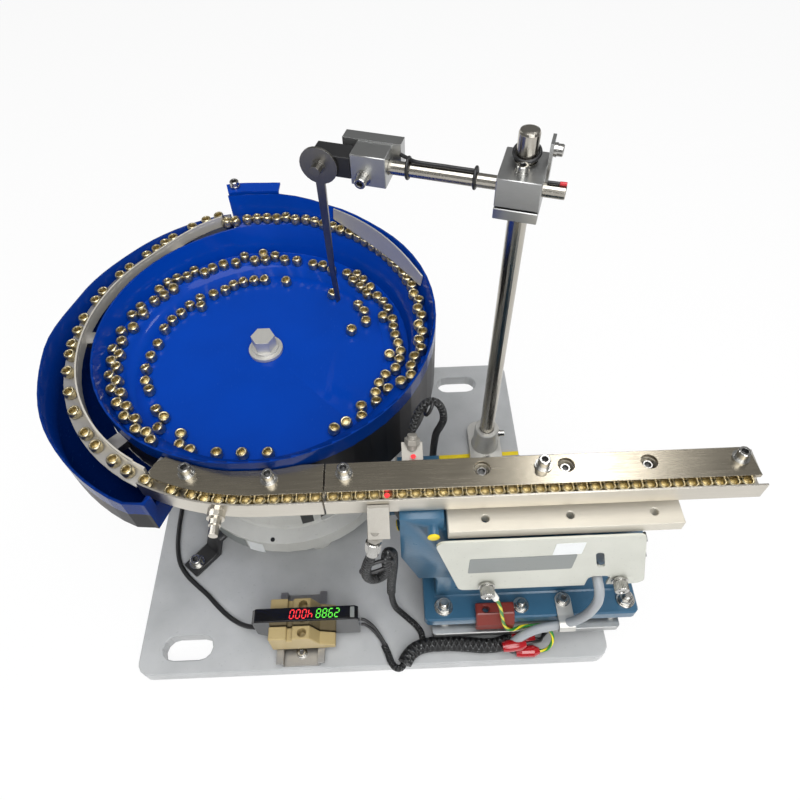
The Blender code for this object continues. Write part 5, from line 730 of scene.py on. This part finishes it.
clamp_seats = [polar(113, angle, 17.3) for angle in (228, 348, 108)]
for index, seat in enumerate(clamp_seats, 1):
    bare(f"drive_clamp_{index}", f"clamp_strap_{index}", black_plastic, "base", seat, 6.4)
screws("clamp_bolts", clamp_seats, head=4.2, height=5, washer=6, key=2.0)
RAIL_SEAT = (11.5, -157, 13.5)
bare("din_rail", "top_hat_rail", dull_steel, "base", RAIL_SEAT, 4.4)
screws("rail_screw", [RAIL_SEAT], height=1.4, washer=4, head=3.4, flat=0.4, key=1.3)
FOOT_SEATS, FOOT_SIDE = [(165.3, 0, 18.3), (165.3, 36, 18.3)], (175.8, 18, 33.3)
bare("post_foot", "flanged_foot", zinc, "base", FOOT_SEATS + [FOOT_SIDE], 4.6, [(0, 0, 1), (0, 0, 1), (1, 0, 0)])
screws("foot_screws", FOOT_SEATS, height=2.4, washer=4.4, flat=0.6)
screws("foot_grub", [FOOT_SIDE], axes=(1, 0, 0), height=4, washer=2.9, head=2.6, flat=0.6, key=1.2)
AHEAD, ASIDE = on_arm([(1, 0, 0), (0, -1, 0)]) - on_arm([(0, 0, 0), (0, 0, 0)])
clamp_top, clamp_side = on_arm([(0, -14, 8), (14, 1.5, 15)])
bare("cross_clamp", "split_clamp", alloy, "clamp_body", [clamp_top, clamp_side], 4.2, [(0, 0, 1), AHEAD])
screws("split_clamp_screws", [clamp_top, clamp_side], body="clamp_body", axes=[(0, 0, 1), AHEAD], height=3.4, washer=3.8)
block_seat = on_arm((-88.5, -22, -4))
bare("switch_block", "arm_block", alloy, "arm_body", block_seat, 5.2, ASIDE)
screws("arm_block_screw", [block_seat], body="arm_body", axes=ASIDE)
tab_angle = 102
tab_seat = polar(float(rim_radius(462)) / MM + 6.5, tab_angle, float(rim_height(462)) / MM + 2)
bare("tab_plate", "blue_tab", bowl_blue, "bowl_body", tab_seat, 4.2)
screws("tab_screw", [tab_seat], body="bowl_body", washer=3.8, height=3.6)

# %% [markdown]
# The blue linear drive is made of two castings with inclined leaf springs between them. Seen from the camera nothing of
# it shows behind the track, so the rear half of its castings, springs and coil is drawn in: depth behind the middle
# is scaled by about a half. The foot block below them keeps its size.

# %% The linear drive
DRIVE_MIDDLE, DRAWN_IN = -111 * MM, 14 / 27
BLOCK_TOP = 45


def drawn_in(piece, low=0.0, rear=0.0):
    """Scales the depth behind the drive's middle, for points above a height and in front of a rear limit."""
    points = points_of(piece)
    back = (points[:, 1] > DRIVE_MIDDLE) & (points[:, 2] > low) & (points[:, 1] < rear)
    points[back, 1] = DRIVE_MIDDLE + (points[back, 1] - DRIVE_MIDDLE) * DRAWN_IN
    piece.data.vertices.foreach_set("co", points.ravel())
    piece.data.update()
    return piece


def hex_nut(half=4.7, height=4.4, washer=6.6, stud=2.9, rise=3.6):
    """Washer, six-sided nut with chamfered corners and the end of its stud. In mm."""
    top = 1.3 + height
    return (
        (0, 0), (washer, 0), (washer, 1), (washer - 0.3, 1.3), (half, 1.3), (half, 1.8), (half, top - 0.7), (half, top),
        (stud + 0.5, top), (stud, top - 0.3), (stud, top + rise - 0.5), (stud - 0.6, top + rise), (0, top + rise),
    )


NUT_SEATS = [(x, y, BLOCK_TOP) for x in (116, 246) for y in (-138.5, -84)]
drawn_in(copied("linear_yoke", "blue_yoke", casting_blue, "track_body"))
block = drawn_in(bare("linear_base", "blue_block", casting_blue, "base", NUT_SEATS, 6.9), (BLOCK_TOP - 0.1) * MM, -91.5 * MM)
repainted(block, screw_steel, lambda centres: centres[:, 2] < 34.8 * MM)
for node, name, finish in (("linear_spring_left", "left_leaves", spring_steel), ("linear_spring_right", "right_leaves", spring_steel), ("linear_coil", "wound_coil", copper)):
    drawn_in(copied(node, name, finish, "base"))
fasteners("block_nuts", hex_nut(), (5, 6), NUT_SEATS, screw_steel, "base")
fasteners("lug_nut", hex_nut(4.2, 3.4, 5.8, 2.5, 2.4), (5, 6), [(171, -139.5, BLOCK_TOP)], screw_steel, "base")

# %% [markdown]
# The end screws of the leaf springs carry a blob of yellow sealing paint, which shows whether one has turned.

# %% Sealing paint
DOT = ((0, -0.3), (1, -0.3), (1, 0.25), (0.9, 0.45), (0.5, 0.6), (0, 0.65))
for name, seats, axis, size, body in (
    ("paint_above", [(81.1, -119, 157.1), (86.1, -119, 137.1)], (-0.97, 0, -0.2425), 3.7, "track_body"),
    ("paint_below", [(94.6, -119, 103.3), (100.6, -119, 79.3)], (-0.97, 0, -0.2425), 3.5, "base"),
    ("paint_front", [(106, -144, 169.7)], (0, -1, 0), 3.5, "track_body"),
):
    points, faces = turned(np.array(DOT) * (size, 1), 18)
    made, numbers = standing(points, faces, seats, axis)
    placed(name, made * MM, numbers, tape_yellow, body)

# %% [markdown]
# Thin things lie on a surface: two labels without words on the grey cover, tape on the plate, labels round the rim
# of the drive, and black pieces on the drive that are painted shade, for a spring slot and a small hole.
# A flat one is an outline with rounded corners raised by its thickness; a round one is a patch of a
# cylinder. The corners are quarter circles, all worked out at once.

# %% Labels and tape
def rounded_corners(width, height, radius, steps=6):
    """Outline of a rectangle about its middle: four quarter circles one after the other."""
    turns = np.linspace(0, np.pi / 2, steps) + np.arange(4)[:, None] * np.pi / 2
    centre = np.array(((1, 1), (-1, 1), (-1, -1), (1, -1))) * (width / 2 - radius, height / 2 - radius)
    return (centre[:, None] + radius * np.stack((np.cos(turns), np.sin(turns)), -1)).reshape(-1, 2)


def slab(name, outline, middle, across, up, thick, finish, body="base"):
    """An outline in a plane, raised by a thickness along the plane's normal. In mm."""
    across, up = np.array(across, float), np.array(up, float)
    low = np.array(middle) + outline[:, :1] * across + outline[:, 1:] * up
    points = np.vstack((low, low + thick * np.cross(across, up)))
    count = len(outline)
    sides = [[i, (i + 1) % count, count + (i + 1) % count, count + i] for i in range(count)]
    return placed(name, points * MM, sides + [list(range(count))[::-1], list(range(count, 2 * count))], finish, body)


def patch(name, radius, degrees, heights, thick, finish, body="base", steps=14):
    """Sheet bent round the Z axis, between two angles and two heights. Radius and heights may change with the angle. In mm."""
    angle = np.radians(np.linspace(*degrees, steps))
    near, low, high = (np.broadcast_to(value, steps) for value in (radius, *heights))
    away = np.stack((near, near + thick, near + thick, near), 1)
    rings = np.stack((away * np.cos(angle)[:, None], away * np.sin(angle)[:, None], np.stack((low, low, high, high), 1)), -1)
    last = (steps - 1) * 4
    return placed(name, rings.reshape(-1, 3) * MM, grid_faces(steps, 4, closed=True).tolist() + [[3, 2, 1, 0], [last, last + 1, last + 2, last + 3]], finish, body)


bare("side_cover", "grey_cover", cover_paint, "base", [(128, -147, 104.2), (234, -147, 104.2)], 2.9, (0, -1, 0), bores=True)
slab("cover_label", rounded_corners(63, 20, 1.2), (159, -147.5, 136.4), (1, 0, 0.02), (0, 0, 1), 0.25, label_grey)
slab("cover_sticker", rounded_corners(17, 15, 0.6), (184, -147.5, 155), (1, 0, 0.02), (0, 0, 1), 0.2, label_white)
slab("floor_tape", rounded_corners(95, 4, 0.4), (147.5, 9.2, 12), (1, 0.02, 0), (0, 1, 0), 0.18, tape_yellow)
patch("rim_label", 86, (-111, -102.5), (30.5, 45), 0.2, label_white)
patch("rim_strip", 86, (-129, -112), (33, 45), 0.2, label_grey)
# Black sheet where the drive has a spring slot: painted shade of the opening.
patch("slot_shade_sheet", 74, (-80, -73), (54.5, 86), 0.15, black_plastic)
# Black disc where the drive has a small hole: painted shade of the hole.
placed("hole_shade_disc", standing(*turned(((0, 0), (1.7, 0), (1.7, 0.2), (0, 0.2)), 16), [(-10.2, -82.4, 48.9)], (0, -0.26, 1))[0] * MM, turned(((0, 0), (1.7, 0), (1.7, 0.2), (0, 0.2)), 16)[1], black_plastic, "base")

# %% [markdown]
# Two knurled screws hold the grey cover. Knurling is a ring of small straight ribs, so the radius goes up and down
# with the angle, and the rows of the profile that carry it have more points round them than a smooth turned part needs.

# %% Thumb screws
def knurled(profile, ribs, ribbed, depth, steps_each=4):
    """Turned profile whose ribbed rows carry small ribs: the radius follows a cosine of the angle."""
    steps = ribs * steps_each
    points, faces = turned(profile, steps)
    wave = 1 + depth * np.cos(np.linspace(0, 2 * np.pi, steps, endpoint=False) * ribs)
    points = points.reshape(-1, steps, 3)
    points[list(ribbed), :, :2] *= wave[:, None]
    return points.reshape(-1, 3), faces


THUMB = ((0, -6), (2, -6), (2, 0), (3.4, 0), (3.4, 1.2), (5, 1.2), (5.2, 1.5), (5.2, 2.6), (4.2, 2.9), (4.2, 3.2), (4.4, 3.4), (4.4, 8.6), (4.1, 9), (2.8, 9), (2.4, 8.4), (0, 8.4))
for name, node, x in (("left_thumb_screw", "thumb_screw_left", 140.2), ("right_thumb_screw", "thumb_screw_right", 224)):
    points, faces = knurled(THUMB, 28, (10, 11), 0.035)
    made, numbers = standing(points, faces, [(x, -147.5, 108.5)], (0, -1, 0))
    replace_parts(placed(name, made * MM, numbers, screw_steel, "base", 30), node)

# %% [markdown]
# A metal strap with a screw holds the drive's grey lead to the foot block. Its middle line runs along the block's top
# and then round the lead, and each step of it is a flat bar across. The end at the screw is round, so there the
# width follows a circle.

# %% Strap of the drive's lead
STRAP_X, STRAP_HALF, STRAP_THICK = 201.4, 5.6, 1.1
turn_round = np.radians(np.linspace(78, 330, 24))
line = np.vstack((
    np.stack((np.linspace(-131.4, -148.6, 26), np.full(26, BLOCK_TOP + 0.6)), 1),
    np.stack((-153.4 + 4.6 * np.cos(turn_round), 42.6 + 4.4 * np.sin(turn_round)), 1),
))
along = np.gradient(line, axis=0)
along /= np.linalg.norm(along, axis=1)[:, None]
side = np.stack((-along[:, 1], along[:, 0]), 1) * STRAP_THICK / 2
reached = np.concatenate(([0], np.cumsum(np.linalg.norm(np.diff(line, axis=0), axis=1))))
half = STRAP_HALF * np.sqrt(np.clip(1 - np.clip(1 - reached / STRAP_HALF, 0, 1) ** 2, 0.004, 1))
section = np.stack([np.column_stack((STRAP_X + way * half, line + lift * side)) for way, lift in ((-1, -1), (1, -1), (1, 1), (-1, 1))], 1)
last = (len(line) - 1) * 4
strap = placed("lead_strap", section.reshape(-1, 3) * MM, grid_faces(len(line), 4, closed=True).tolist() + [[3, 2, 1, 0], [last, last + 1, last + 2, last + 3]], zinc, "base")
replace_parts(strap, "cable_clip")
screws("strap_screw", [(STRAP_X, -137, BLOCK_TOP + 1.1)], height=2.6, head=3.9, washer=5.2, flat=0.5, key=1.5)

# %% [markdown]
# The earth wire starts in a white sleeve with a ring under the left thumb screw. The lead's other wires end in two more
# red connectors on the plate. Short black wires join them, and black ties hold the wire to the arm.

# %% Sleeve, connectors and ties
tube("ring_sleeve", evenly(smooth(((141.6, -149.4, 107), (143.6, -151.2, 102.6), (146.8, -153.2, 96.6)), 6), 1.2 * MM), 4.4 * MM, sleeve_white, "base")
CRIMP = ((0, 0), (2.4, 0), (4.2, 4), (4.2, 13), (3.4, 17), (0, 17))
points, faces = turned(CRIMP, 24)
made, numbers = standing(points, faces, [(182, -155.4, 20.4), (174, -160.6, 26.2)], [(-1, 0.06, 0), (-1, -0.1, -0.02)])
placed("more_crimps", made * MM, numbers, crimp_red, "base")
SHORT_WIRES = {
    "wire_to_crimp": ((165, -159.4, 25.6), (161.6, -160.4, 23.4), (161.2, -162, 19.6), (164, -163.4, 17.6), (168.4, -163.5, 17.3)),
    "wire_to_next": ((165.4, -159, 25.8), (161.4, -158.2, 24.6), (161.2, -156, 21.6), (165.4, -155, 20.4)),
    "wire_behind": ((182, -155.4, 20.4), (186, -155.6, 19.4), (191, -151, 15.6), (197, -145.4, 13.6)),
    "wire_aside": ((174, -160.6, 26.2), (179, -160, 26.6), (184.6, -158.6, 24.4), (187, -155.6, 19.8), (190, -150.6, 15)),
}
for name, route in SHORT_WIRES.items():
    tube(name, evenly(smooth(route), 1 * MM), 2.2 * MM, black_plastic, "base", 10)


def tie(name, middle, across, up, size, width, body, finish=black_plastic):
    """A strap round something: an ellipse of two radii in the plane of two directions. In mm."""
    turns = np.linspace(0, 2 * np.pi, 40)
    path = np.array(middle) + size[0] * np.cos(turns)[:, None] * np.array(across) + size[1] * np.sin(turns)[:, None] * np.array(up)
    return tube(name, path * MM, width * MM, finish, body, 10)


PLUG_NUT = ((0, 0), (3.6, 0), (4.4, 0.6), (4.4, 6.4), (3.6, 7), (3.6, 9.5), (0, 9.5))
points, faces = knurled(PLUG_NUT, 22, (2, 3), 0.04)
made, numbers = standing(points, faces, [(72.7, -147.2, 174.6)], (-0.14, -0.36, -0.92))
placed("sensor_plug_nut", made * MM, numbers, screw_steel, "base", 30)
tie("arm_tie_1", on_arm((-63.8, -14, 1.1)), ASIDE, (0, 0, 1), (4.9, 6), 2, "arm_body")
tie("arm_tie_2", on_arm((-25, -14, 1.1)), ASIDE, (0, 0, 1), (4.9, 6), 2, "arm_body")
tie("post_tie", (165.3, 18, 304.5), (1, 0, 0.1), (0, 1, 0.22), (7.2, 7.2), 2.2, "clamp_body")
tie("loop_tie_front", (73, -149.6, 146), (1, 0.3, 0), (0, 0.1, 1), (9.3, 4.8), 2.4, "base")
tie("loop_tie_rear", (106.4, -84.8, 212), (0.4, 0, 0.9), (0.1, 1, 0), (5.2, 4), 2, "base")
tube("arm_wire_end", evenly(smooth(on_arm(((14.3, -14.4, 5.2), (17.6, -14.4, 5.3), (21.4, -14.2, 5.3))), 6), 1 * MM), 1.9 * MM, black_plastic, "clamp_body", 10)
tube("arm_wire_tip", evenly(smooth(on_arm(((21, -14.2, 5.3), (23, -14.1, 5.3), (24.8, -14, 5.3))), 6), 1 * MM), 2.3 * MM, wire_red, "clamp_body", 10)
tube("front_loop_sleeve", evenly(smooth(SENSOR_FRONT_ROUTE[1:17]), 1 * MM), 6 * MM, fine_braid, "base")
tube("fibre_sleeve", evenly(smooth(FIBRE_ROUTE[4:]), 1.4 * MM), 5 * MM, fine_braid, "base")
tube("second_fibre", evenly(smooth(((55.6, -138.2, 27), (59, -139, 26), (64.4, -142.4, 22.4), (69.4, -148.4, 18.4), (73.4, -154.6, 15.6))), 1 * MM), 2.2 * MM, black_plastic, "base", 10)

# %% [markdown]
# The strip that the rails are made of is bright. Its brackets and low inner faces are painted black: painted shade of
# the gap to the bowl.

# %% Rails
rails = copied("discharge_rails", "rail_strip", rail_steel, "bowl_body")
# Faces low on the inner side get the dark finish: painted shade of the gap between rails and bowl.
repainted(rails, spring_steel, lambda centres: (centres[:, 2] < 186.8 * MM) & (np.hypot(centres[:, 0], centres[:, 1]) < (121.5 - 4.9 + 3.12 * ((np.degrees(np.arctan2(centres[:, 1], centres[:, 0])) % 360) - 106) / 136) * MM))

# %% [markdown]
# The workpieces are small brass cups with a bore in the top. They fill the groove and the ledge and are what the
# feeder is for, so the same turned profile is copied to every place, with few faces, because there are many.

# %% Brass cups
def cup():
    """Chamfered foot, straight side, rounded lip and a bore, as (radius, height) in mm."""
    return ((0, 0), (2.9, 0), (3.75, 1.6), (3.75, 5.1), (3.5, 5.7), (3.0, 6), (2.5, 5.9), (2.2, 5.3), (2.1, 1.6), (0, 1.6))


def cups(name, seats, body, tilts=0.0, seed=3):
    """Cups on their seats, each turned at random and leaning by up to tilts."""
    chance = np.random.default_rng(seed)
    seats = np.atleast_2d(np.asarray(seats, float))
    lean = chance.normal(0, 1, (len(seats), 2)) * tilts
    axes = np.column_stack((lean, np.ones(len(seats))))
    points, faces = turned(cup(), 16)
    made, numbers = standing(points, faces, seats, axes, chance.uniform(0, 6, len(seats)))
    return placed(name, made * MM, numbers, brass, body, 42)


def around(radius, angles, height):
    angles = np.radians(np.asarray(angles, float))
    return np.column_stack(np.broadcast_arrays(radius * np.cos(angles), radius * np.sin(angles), height))


def ledge_height(angle):
    """Height of the winding ledge in mm: it climbs 31 mm in 490 degrees."""
    return 164.0 + 31 * (np.asarray(angle, float) + 40) / 490


def rows(*places):
    """Angles and radii of a row, from one flat list of pairs."""
    return np.array(places).reshape(-1, 2).T


def floor_height(radius):
    """Dished floor: highest at the hub, 9.6 mm lower at 93 mm radius."""
    return 172.0 - 9.6 * (np.asarray(radius) - 13) / 80


RAIL_ANGLES = np.array((109.8, 114.5, 120.1, 127.5, 131.1, 134.5, 138.6, 146.1, 150.6, 159.3, 163.7, 171.8, 177.4, 182.9, 187.2, 194, 202.4, 210.2, 219.3, 225, 232.6, 238.5))
fence_angles = np.linspace(109, 238, 60)
fence_foot = ledge_height(465) + (188 - ledge_height(465)) * eased((fence_angles - 106) / 35)
patch("fence_strip", 115.5 + 3.12 * (fence_angles - 106) / 136, (109, 238), (fence_foot + 4.6, fence_foot + 7.2), 1.1, rail_steel, "bowl_body", 60)
UPPER_ROW = rows(
    108.1, 111.6, 104.2, 111.4, 100.2, 111.2, 96.3, 111, 92.4, 110.9, 88.5, 110.5, 84.8, 112.1, 81, 110.1, 77.2, 111.1, 73.3, 110.4, 69.4, 110,
    65.5, 109.7, 61.6, 109.4, 57.7, 109.1, 53.8, 108.7, 49.9, 108.4, 42, 108, 46, 108.1, 34.2, 107.9, 38.1, 108, 30.2, 107.3, 26.3, 107.9,
    22.4, 106.9, 18.5, 107.8, 14.6, 106.4, 10.7, 107.8, 6.8, 106, -0.9, 105.6, 2.9, 107.7, -4.8, 107.7, -8.6, 105.2, -12.4, 107.6, -16.3, 105.7,
    -20.4, 106, -24.3, 107.5, -27.9, 104.1)
MIDDLE_ROW = rows(
    -126, 100.7, -130, 97.9, -134.1, 100.5, -138.1, 97.4, -142.1, 100.5, -146, 97, -149.9, 100.5, -153.6, 96.6, -157.4, 100.5, -161, 96.2,
    -164.6, 100.4, -168.3, 96.4, -172.1, 100.4, -178.6, 100.4, 177.4, 97.1, -175.3, 95.4, 171.6, 100.4, 168.9, 94.5, 162.6, 100.4, 157, 99.2,
    160.2, 94, 151.4, 94.5, 145.2, 100.4, 146.7, 93.3, 140.2, 100.4, 141, 93, 135.9, 99.2, 132, 95.8, 127.7, 97.8, 124.7, 92.1, 120.1, 93.3,
    114.7, 93.7, 109, 91.5, 104.8, 96.4, 99.9, 90.7, 96.1, 97.8, 95, 90.4, 90.8, 93.9, 85.6, 89.9, 79.5, 89.6, 71.1, 89.1, 66.4, 90.3, 60.8, 88.6,
    53.2, 91.5, 47.9, 87.8, 49, 95.2, 41.9, 87.5, 44.5, 93.8, 36.2, 87.2, 38.8, 93.6, 32.2, 91.5, 27.5, 91.7, 19.5, 86.3, 22.8, 91.9, 16, 91.4,
    11.3, 89.7, 6.5, 90.3, 1.8, 91, -2.8, 92.5, -7.5, 91.8, -12.2, 90.5, -4.2, 85)
LOWER_ROW = rows(
    95.9, 77.6, 102, 78.3, 107.7, 79.2, 113.8, 78.6, 120, 76.5, 126.5, 77.9, 133.8, 81, 136.8, 72.6, 140.5, 80.7, 146.6, 80.1, 153, 81.8,
    159.3, 81.4, 169.9, 79.7, 178.3, 81.3, -173.7, 82.6, -166.8, 82.3, -159.9, 81.7, -146.6, 82.1, -141.2, 81, -137.5, 86.4, -127.5, 81.5,
    -123.6, 86.5, -118.2, 87.4, -107.2, 84.4, -95.7, 81.7, -84.3, 82.2, 83.5, 74.6, 53.3, 71.5, 35.2, 76.5, 29.5, 76.8, 22.1, 74, 17.6, 60.7,
    -16.8, 84.3, -21.9, 83.4, -23.6, 90.5, -27.6, 83.5, -31.9, 88.4, -36.9, 81.8, -41.1, 86, -46.9, 81.9, -54.4, 80.7)
track_seats = [(x, -129.3, 188.2) for x in np.arange(51.6, 284, 7.55)]
cups("track_cups", track_seats, "track_body")
channel_xy = np.array(((-54, -113), (-38.1, -120.6), (-26.6, -124), (-18.9, -126.5), (-11.2, -127.7), (-3.5, -128.3), (4.1, -128.8), (11.7, -129.1), (19.3, -129.2), (26.9, -129.3), (34.5, -129.3), (42.1, -129.3)))
cups("channel_cups", np.column_stack((channel_xy, np.full(12, 188.2))), "bowl_body")
rail_level = ledge_height(465) + (188 - ledge_height(465)) * eased((RAIL_ANGLES - 106) / 35)
cups("rail_cups", around(121.5 + 3.12 * (RAIL_ANGLES - 106) / 136, RAIL_ANGLES, rail_level + 0.2), "bowl_body", 0.06, 5)
turn_up, radius_up = UPPER_ROW
cups("upper_cups", around(radius_up, turn_up, ledge_height(np.where(turn_up < 114, turn_up + 360, turn_up)) + 0.3), "bowl_body", 0.10, 6)
turn_mid, radius_mid = MIDDLE_ROW
cups("middle_cups", around(radius_mid, turn_mid, ledge_height(np.where(turn_mid < -41, turn_mid + 360, turn_mid)) + 0.3), "bowl_body", 0.10, 7)
turn_low, radius_low = LOWER_ROW
on_ledge = (turn_low > -41) & (turn_low < 0) & (radius_low > 80)
cups("lower_cups", around(radius_low, turn_low, np.where(on_ledge, ledge_height(turn_low), floor_height(radius_low)) + 0.3), "bowl_body", 0.12, 8)

# %% [markdown]
# The amplifier shows two numbers in seven-segment digits, red and green, and stands upside down to the reader.
# Each bar of a digit is a flat six-cornered strip, so a number is a few strips copied to the places that it lights.

# %% Numbers on the display
SEGMENTS = {0: "abcdef", 2: "abged", 4: "fgbc", 6: "acdefg", 8: "abcdefg", 9: "abcdfg"}
BARS = {"a": (0, 1, 0), "b": (0.5, 0.5, 1), "c": (0.5, -0.5, 1), "d": (0, -1, 0), "e": (-0.5, -0.5, 1), "f": (-0.5, 0.5, 1), "g": (0, 0, 0)}
STRIP = np.array(((-0.42, 0), (-0.3, 0.13), (0.3, 0.13), (0.42, 0), (0.3, -0.13), (-0.3, -0.13)))


def number(name, digits, start, finish, width=(2.7, 3.0)):
    """Strips in mm on the amplifier's top, read from behind: both directions are turned round."""
    strips = []
    for place, digit in enumerate(digits):
        for bar in SEGMENTS[digit]:
            x, y, upright = BARS[bar]
            strip = STRIP[:, ::-1] if upright else STRIP
            strips.append((strip + (x, y)) * width + (place * 4.35, 0))
    strips = np.array(strips)
    points = np.stack((start[0] - strips[..., 0] - 0.14 * strips[..., 1], start[1] - strips[..., 1], np.full(strips.shape[:2], start[2])), -1)
    faces = [[place * 6 + i for i in range(6)] for place in range(len(strips))]
    return placed(name, points * MM, faces, finish, "base")


def lit(name, colour, strength):
    made = Finish(name, (0.02, 0.02, 0.02), Roughness=0.4)
    made.shader.inputs["Emission Strength"].default_value = strength
    return made.set("Emission Color", made.blend(made.noise(900, 1), colour, tuple(value * 0.7 for value in colour)))


slab("display_window", rounded_corners(44, 8.6, 0.8), (25, -141, 50.1), (1, 0, 0), (0, 1, 0), 0.12, black_gloss)
slab("display_key", rounded_corners(3, 7.4, 0.5), (51, -141, 50.1), (1, 0, 0), (0, 1, 0), 0.5, label_grey)
lit_red, lit_green = lit("lit_red", (1.0, 0.02, 0.03), 1.6), lit("lit_green", (0.12, 0.9, 0.05), 1.4)
number("red_number", (4, 0, 0, 0), (21.4, -141, 50.26), lit_red)
# red_light_on_cup is painted light: the sensor's red light falling on a cup top, drawn as a glowing disc.
for name, spot in (("red_light_on_cup", (81.1, -130, 194.35)), ("spot_behind", (96.4, -107.6, 197.3))):
    points, faces = turned(((0, 0), (1.5, 0), (1.3, 0.25), (0, 0.35)), 14)
    placed(name, standing(points, faces, [spot])[0] * MM, faces, lit_red, "track_body")
number("green_number", (2, 9, 8, 8), (40.2, -141, 50.26), lit_green)

# %% [markdown]
# The floor and the lamps aren't part of the feeder. The floor is pale and plain, and the picture's ground is white,
# so the camera and mirrors see white where rays miss the feeder, while the floor still takes its soft shadow.

# %% Stage and lamps
def floor_finish():
    """Pale floor: a plain matt surface, mixed with white light for the camera and for mirrors, so that shadows stay."""
    made = Finish("floor_white", Roughness=0.9)
    made.set("Base Color", made.blend(made.noise(3, 2) * 0.2, (0.93, 0.93, 0.93), (0.90, 0.90, 0.905)))
    glow = made.node("ShaderNodeEmission", {}, {"Color": (1, 1, 1), "Strength": 1.0})
    ray = made.tree.nodes.new("ShaderNodeLightPath")
    seen = Value(made, ray.outputs["Is Camera Ray"]).join("MAXIMUM", Value(made, ray.outputs["Is Glossy Ray"]))
    mixed = made.node("ShaderNodeMixShader", {}, [seen * 0.9, Value(made, made.shader.outputs[0]), glow])
    made.tree.links.new(mixed.socket, made.tree.nodes["Material Output"].inputs["Surface"])
    return made


def lamp(name, place, aim, size, power, colour=(1, 1, 1)):
    data = bpy.data.lights.new(name, "AREA")
    data.shape, data.size, data.energy, data.color = "DISK", size, power, colour
    made = bpy.data.objects.new(name, data)
    bpy.context.scene.collection.objects.link(made)
    from mathutils import Vector
    made.location = place
    made.rotation_euler = (Vector(aim) - Vector(place)).to_track_quat("-Z", "Y").to_euler()
    return made


floor_mesh = bpy.data.meshes.new("floor")
floor_mesh.from_pydata([(x * 3, y * 3, -0.0004) for x, y in ((-1, -1), (1, -1), (1, 1), (-1, 1))], [], [(0, 1, 2, 3)])
floor = bpy.data.objects.new("floor", floor_mesh)
bpy.context.scene.collection.objects.link(floor)
floor_mesh.materials.append(floor_finish().material)

lamp("key", (0.52, 0.47, 1.15), (0.1, -0.05, 0.15), 0.2, 1.1)
lamp("ceiling", (0.15, -0.45, 1.5), (0.08, -0.05, 0.1), 1.4, 20)
lamp("front", (0.5, -1.3, 1.0), (0.12, -0.08, 0.05), 1.0, 11)
lamp("side", (-0.9, 0.5, 1.0), (0.0, 0, 0.15), 0.35, 1.5)

world = bpy.data.worlds.new("studio")
bpy.context.scene.world = world
world.use_nodes = True
world.node_tree.nodes["Background"].inputs["Color"].default_value = (1, 1, 1, 1)
world.node_tree.nodes["Background"].inputs["Strength"].default_value = 0.2
bpy.context.scene.view_settings.view_transform = "Standard"
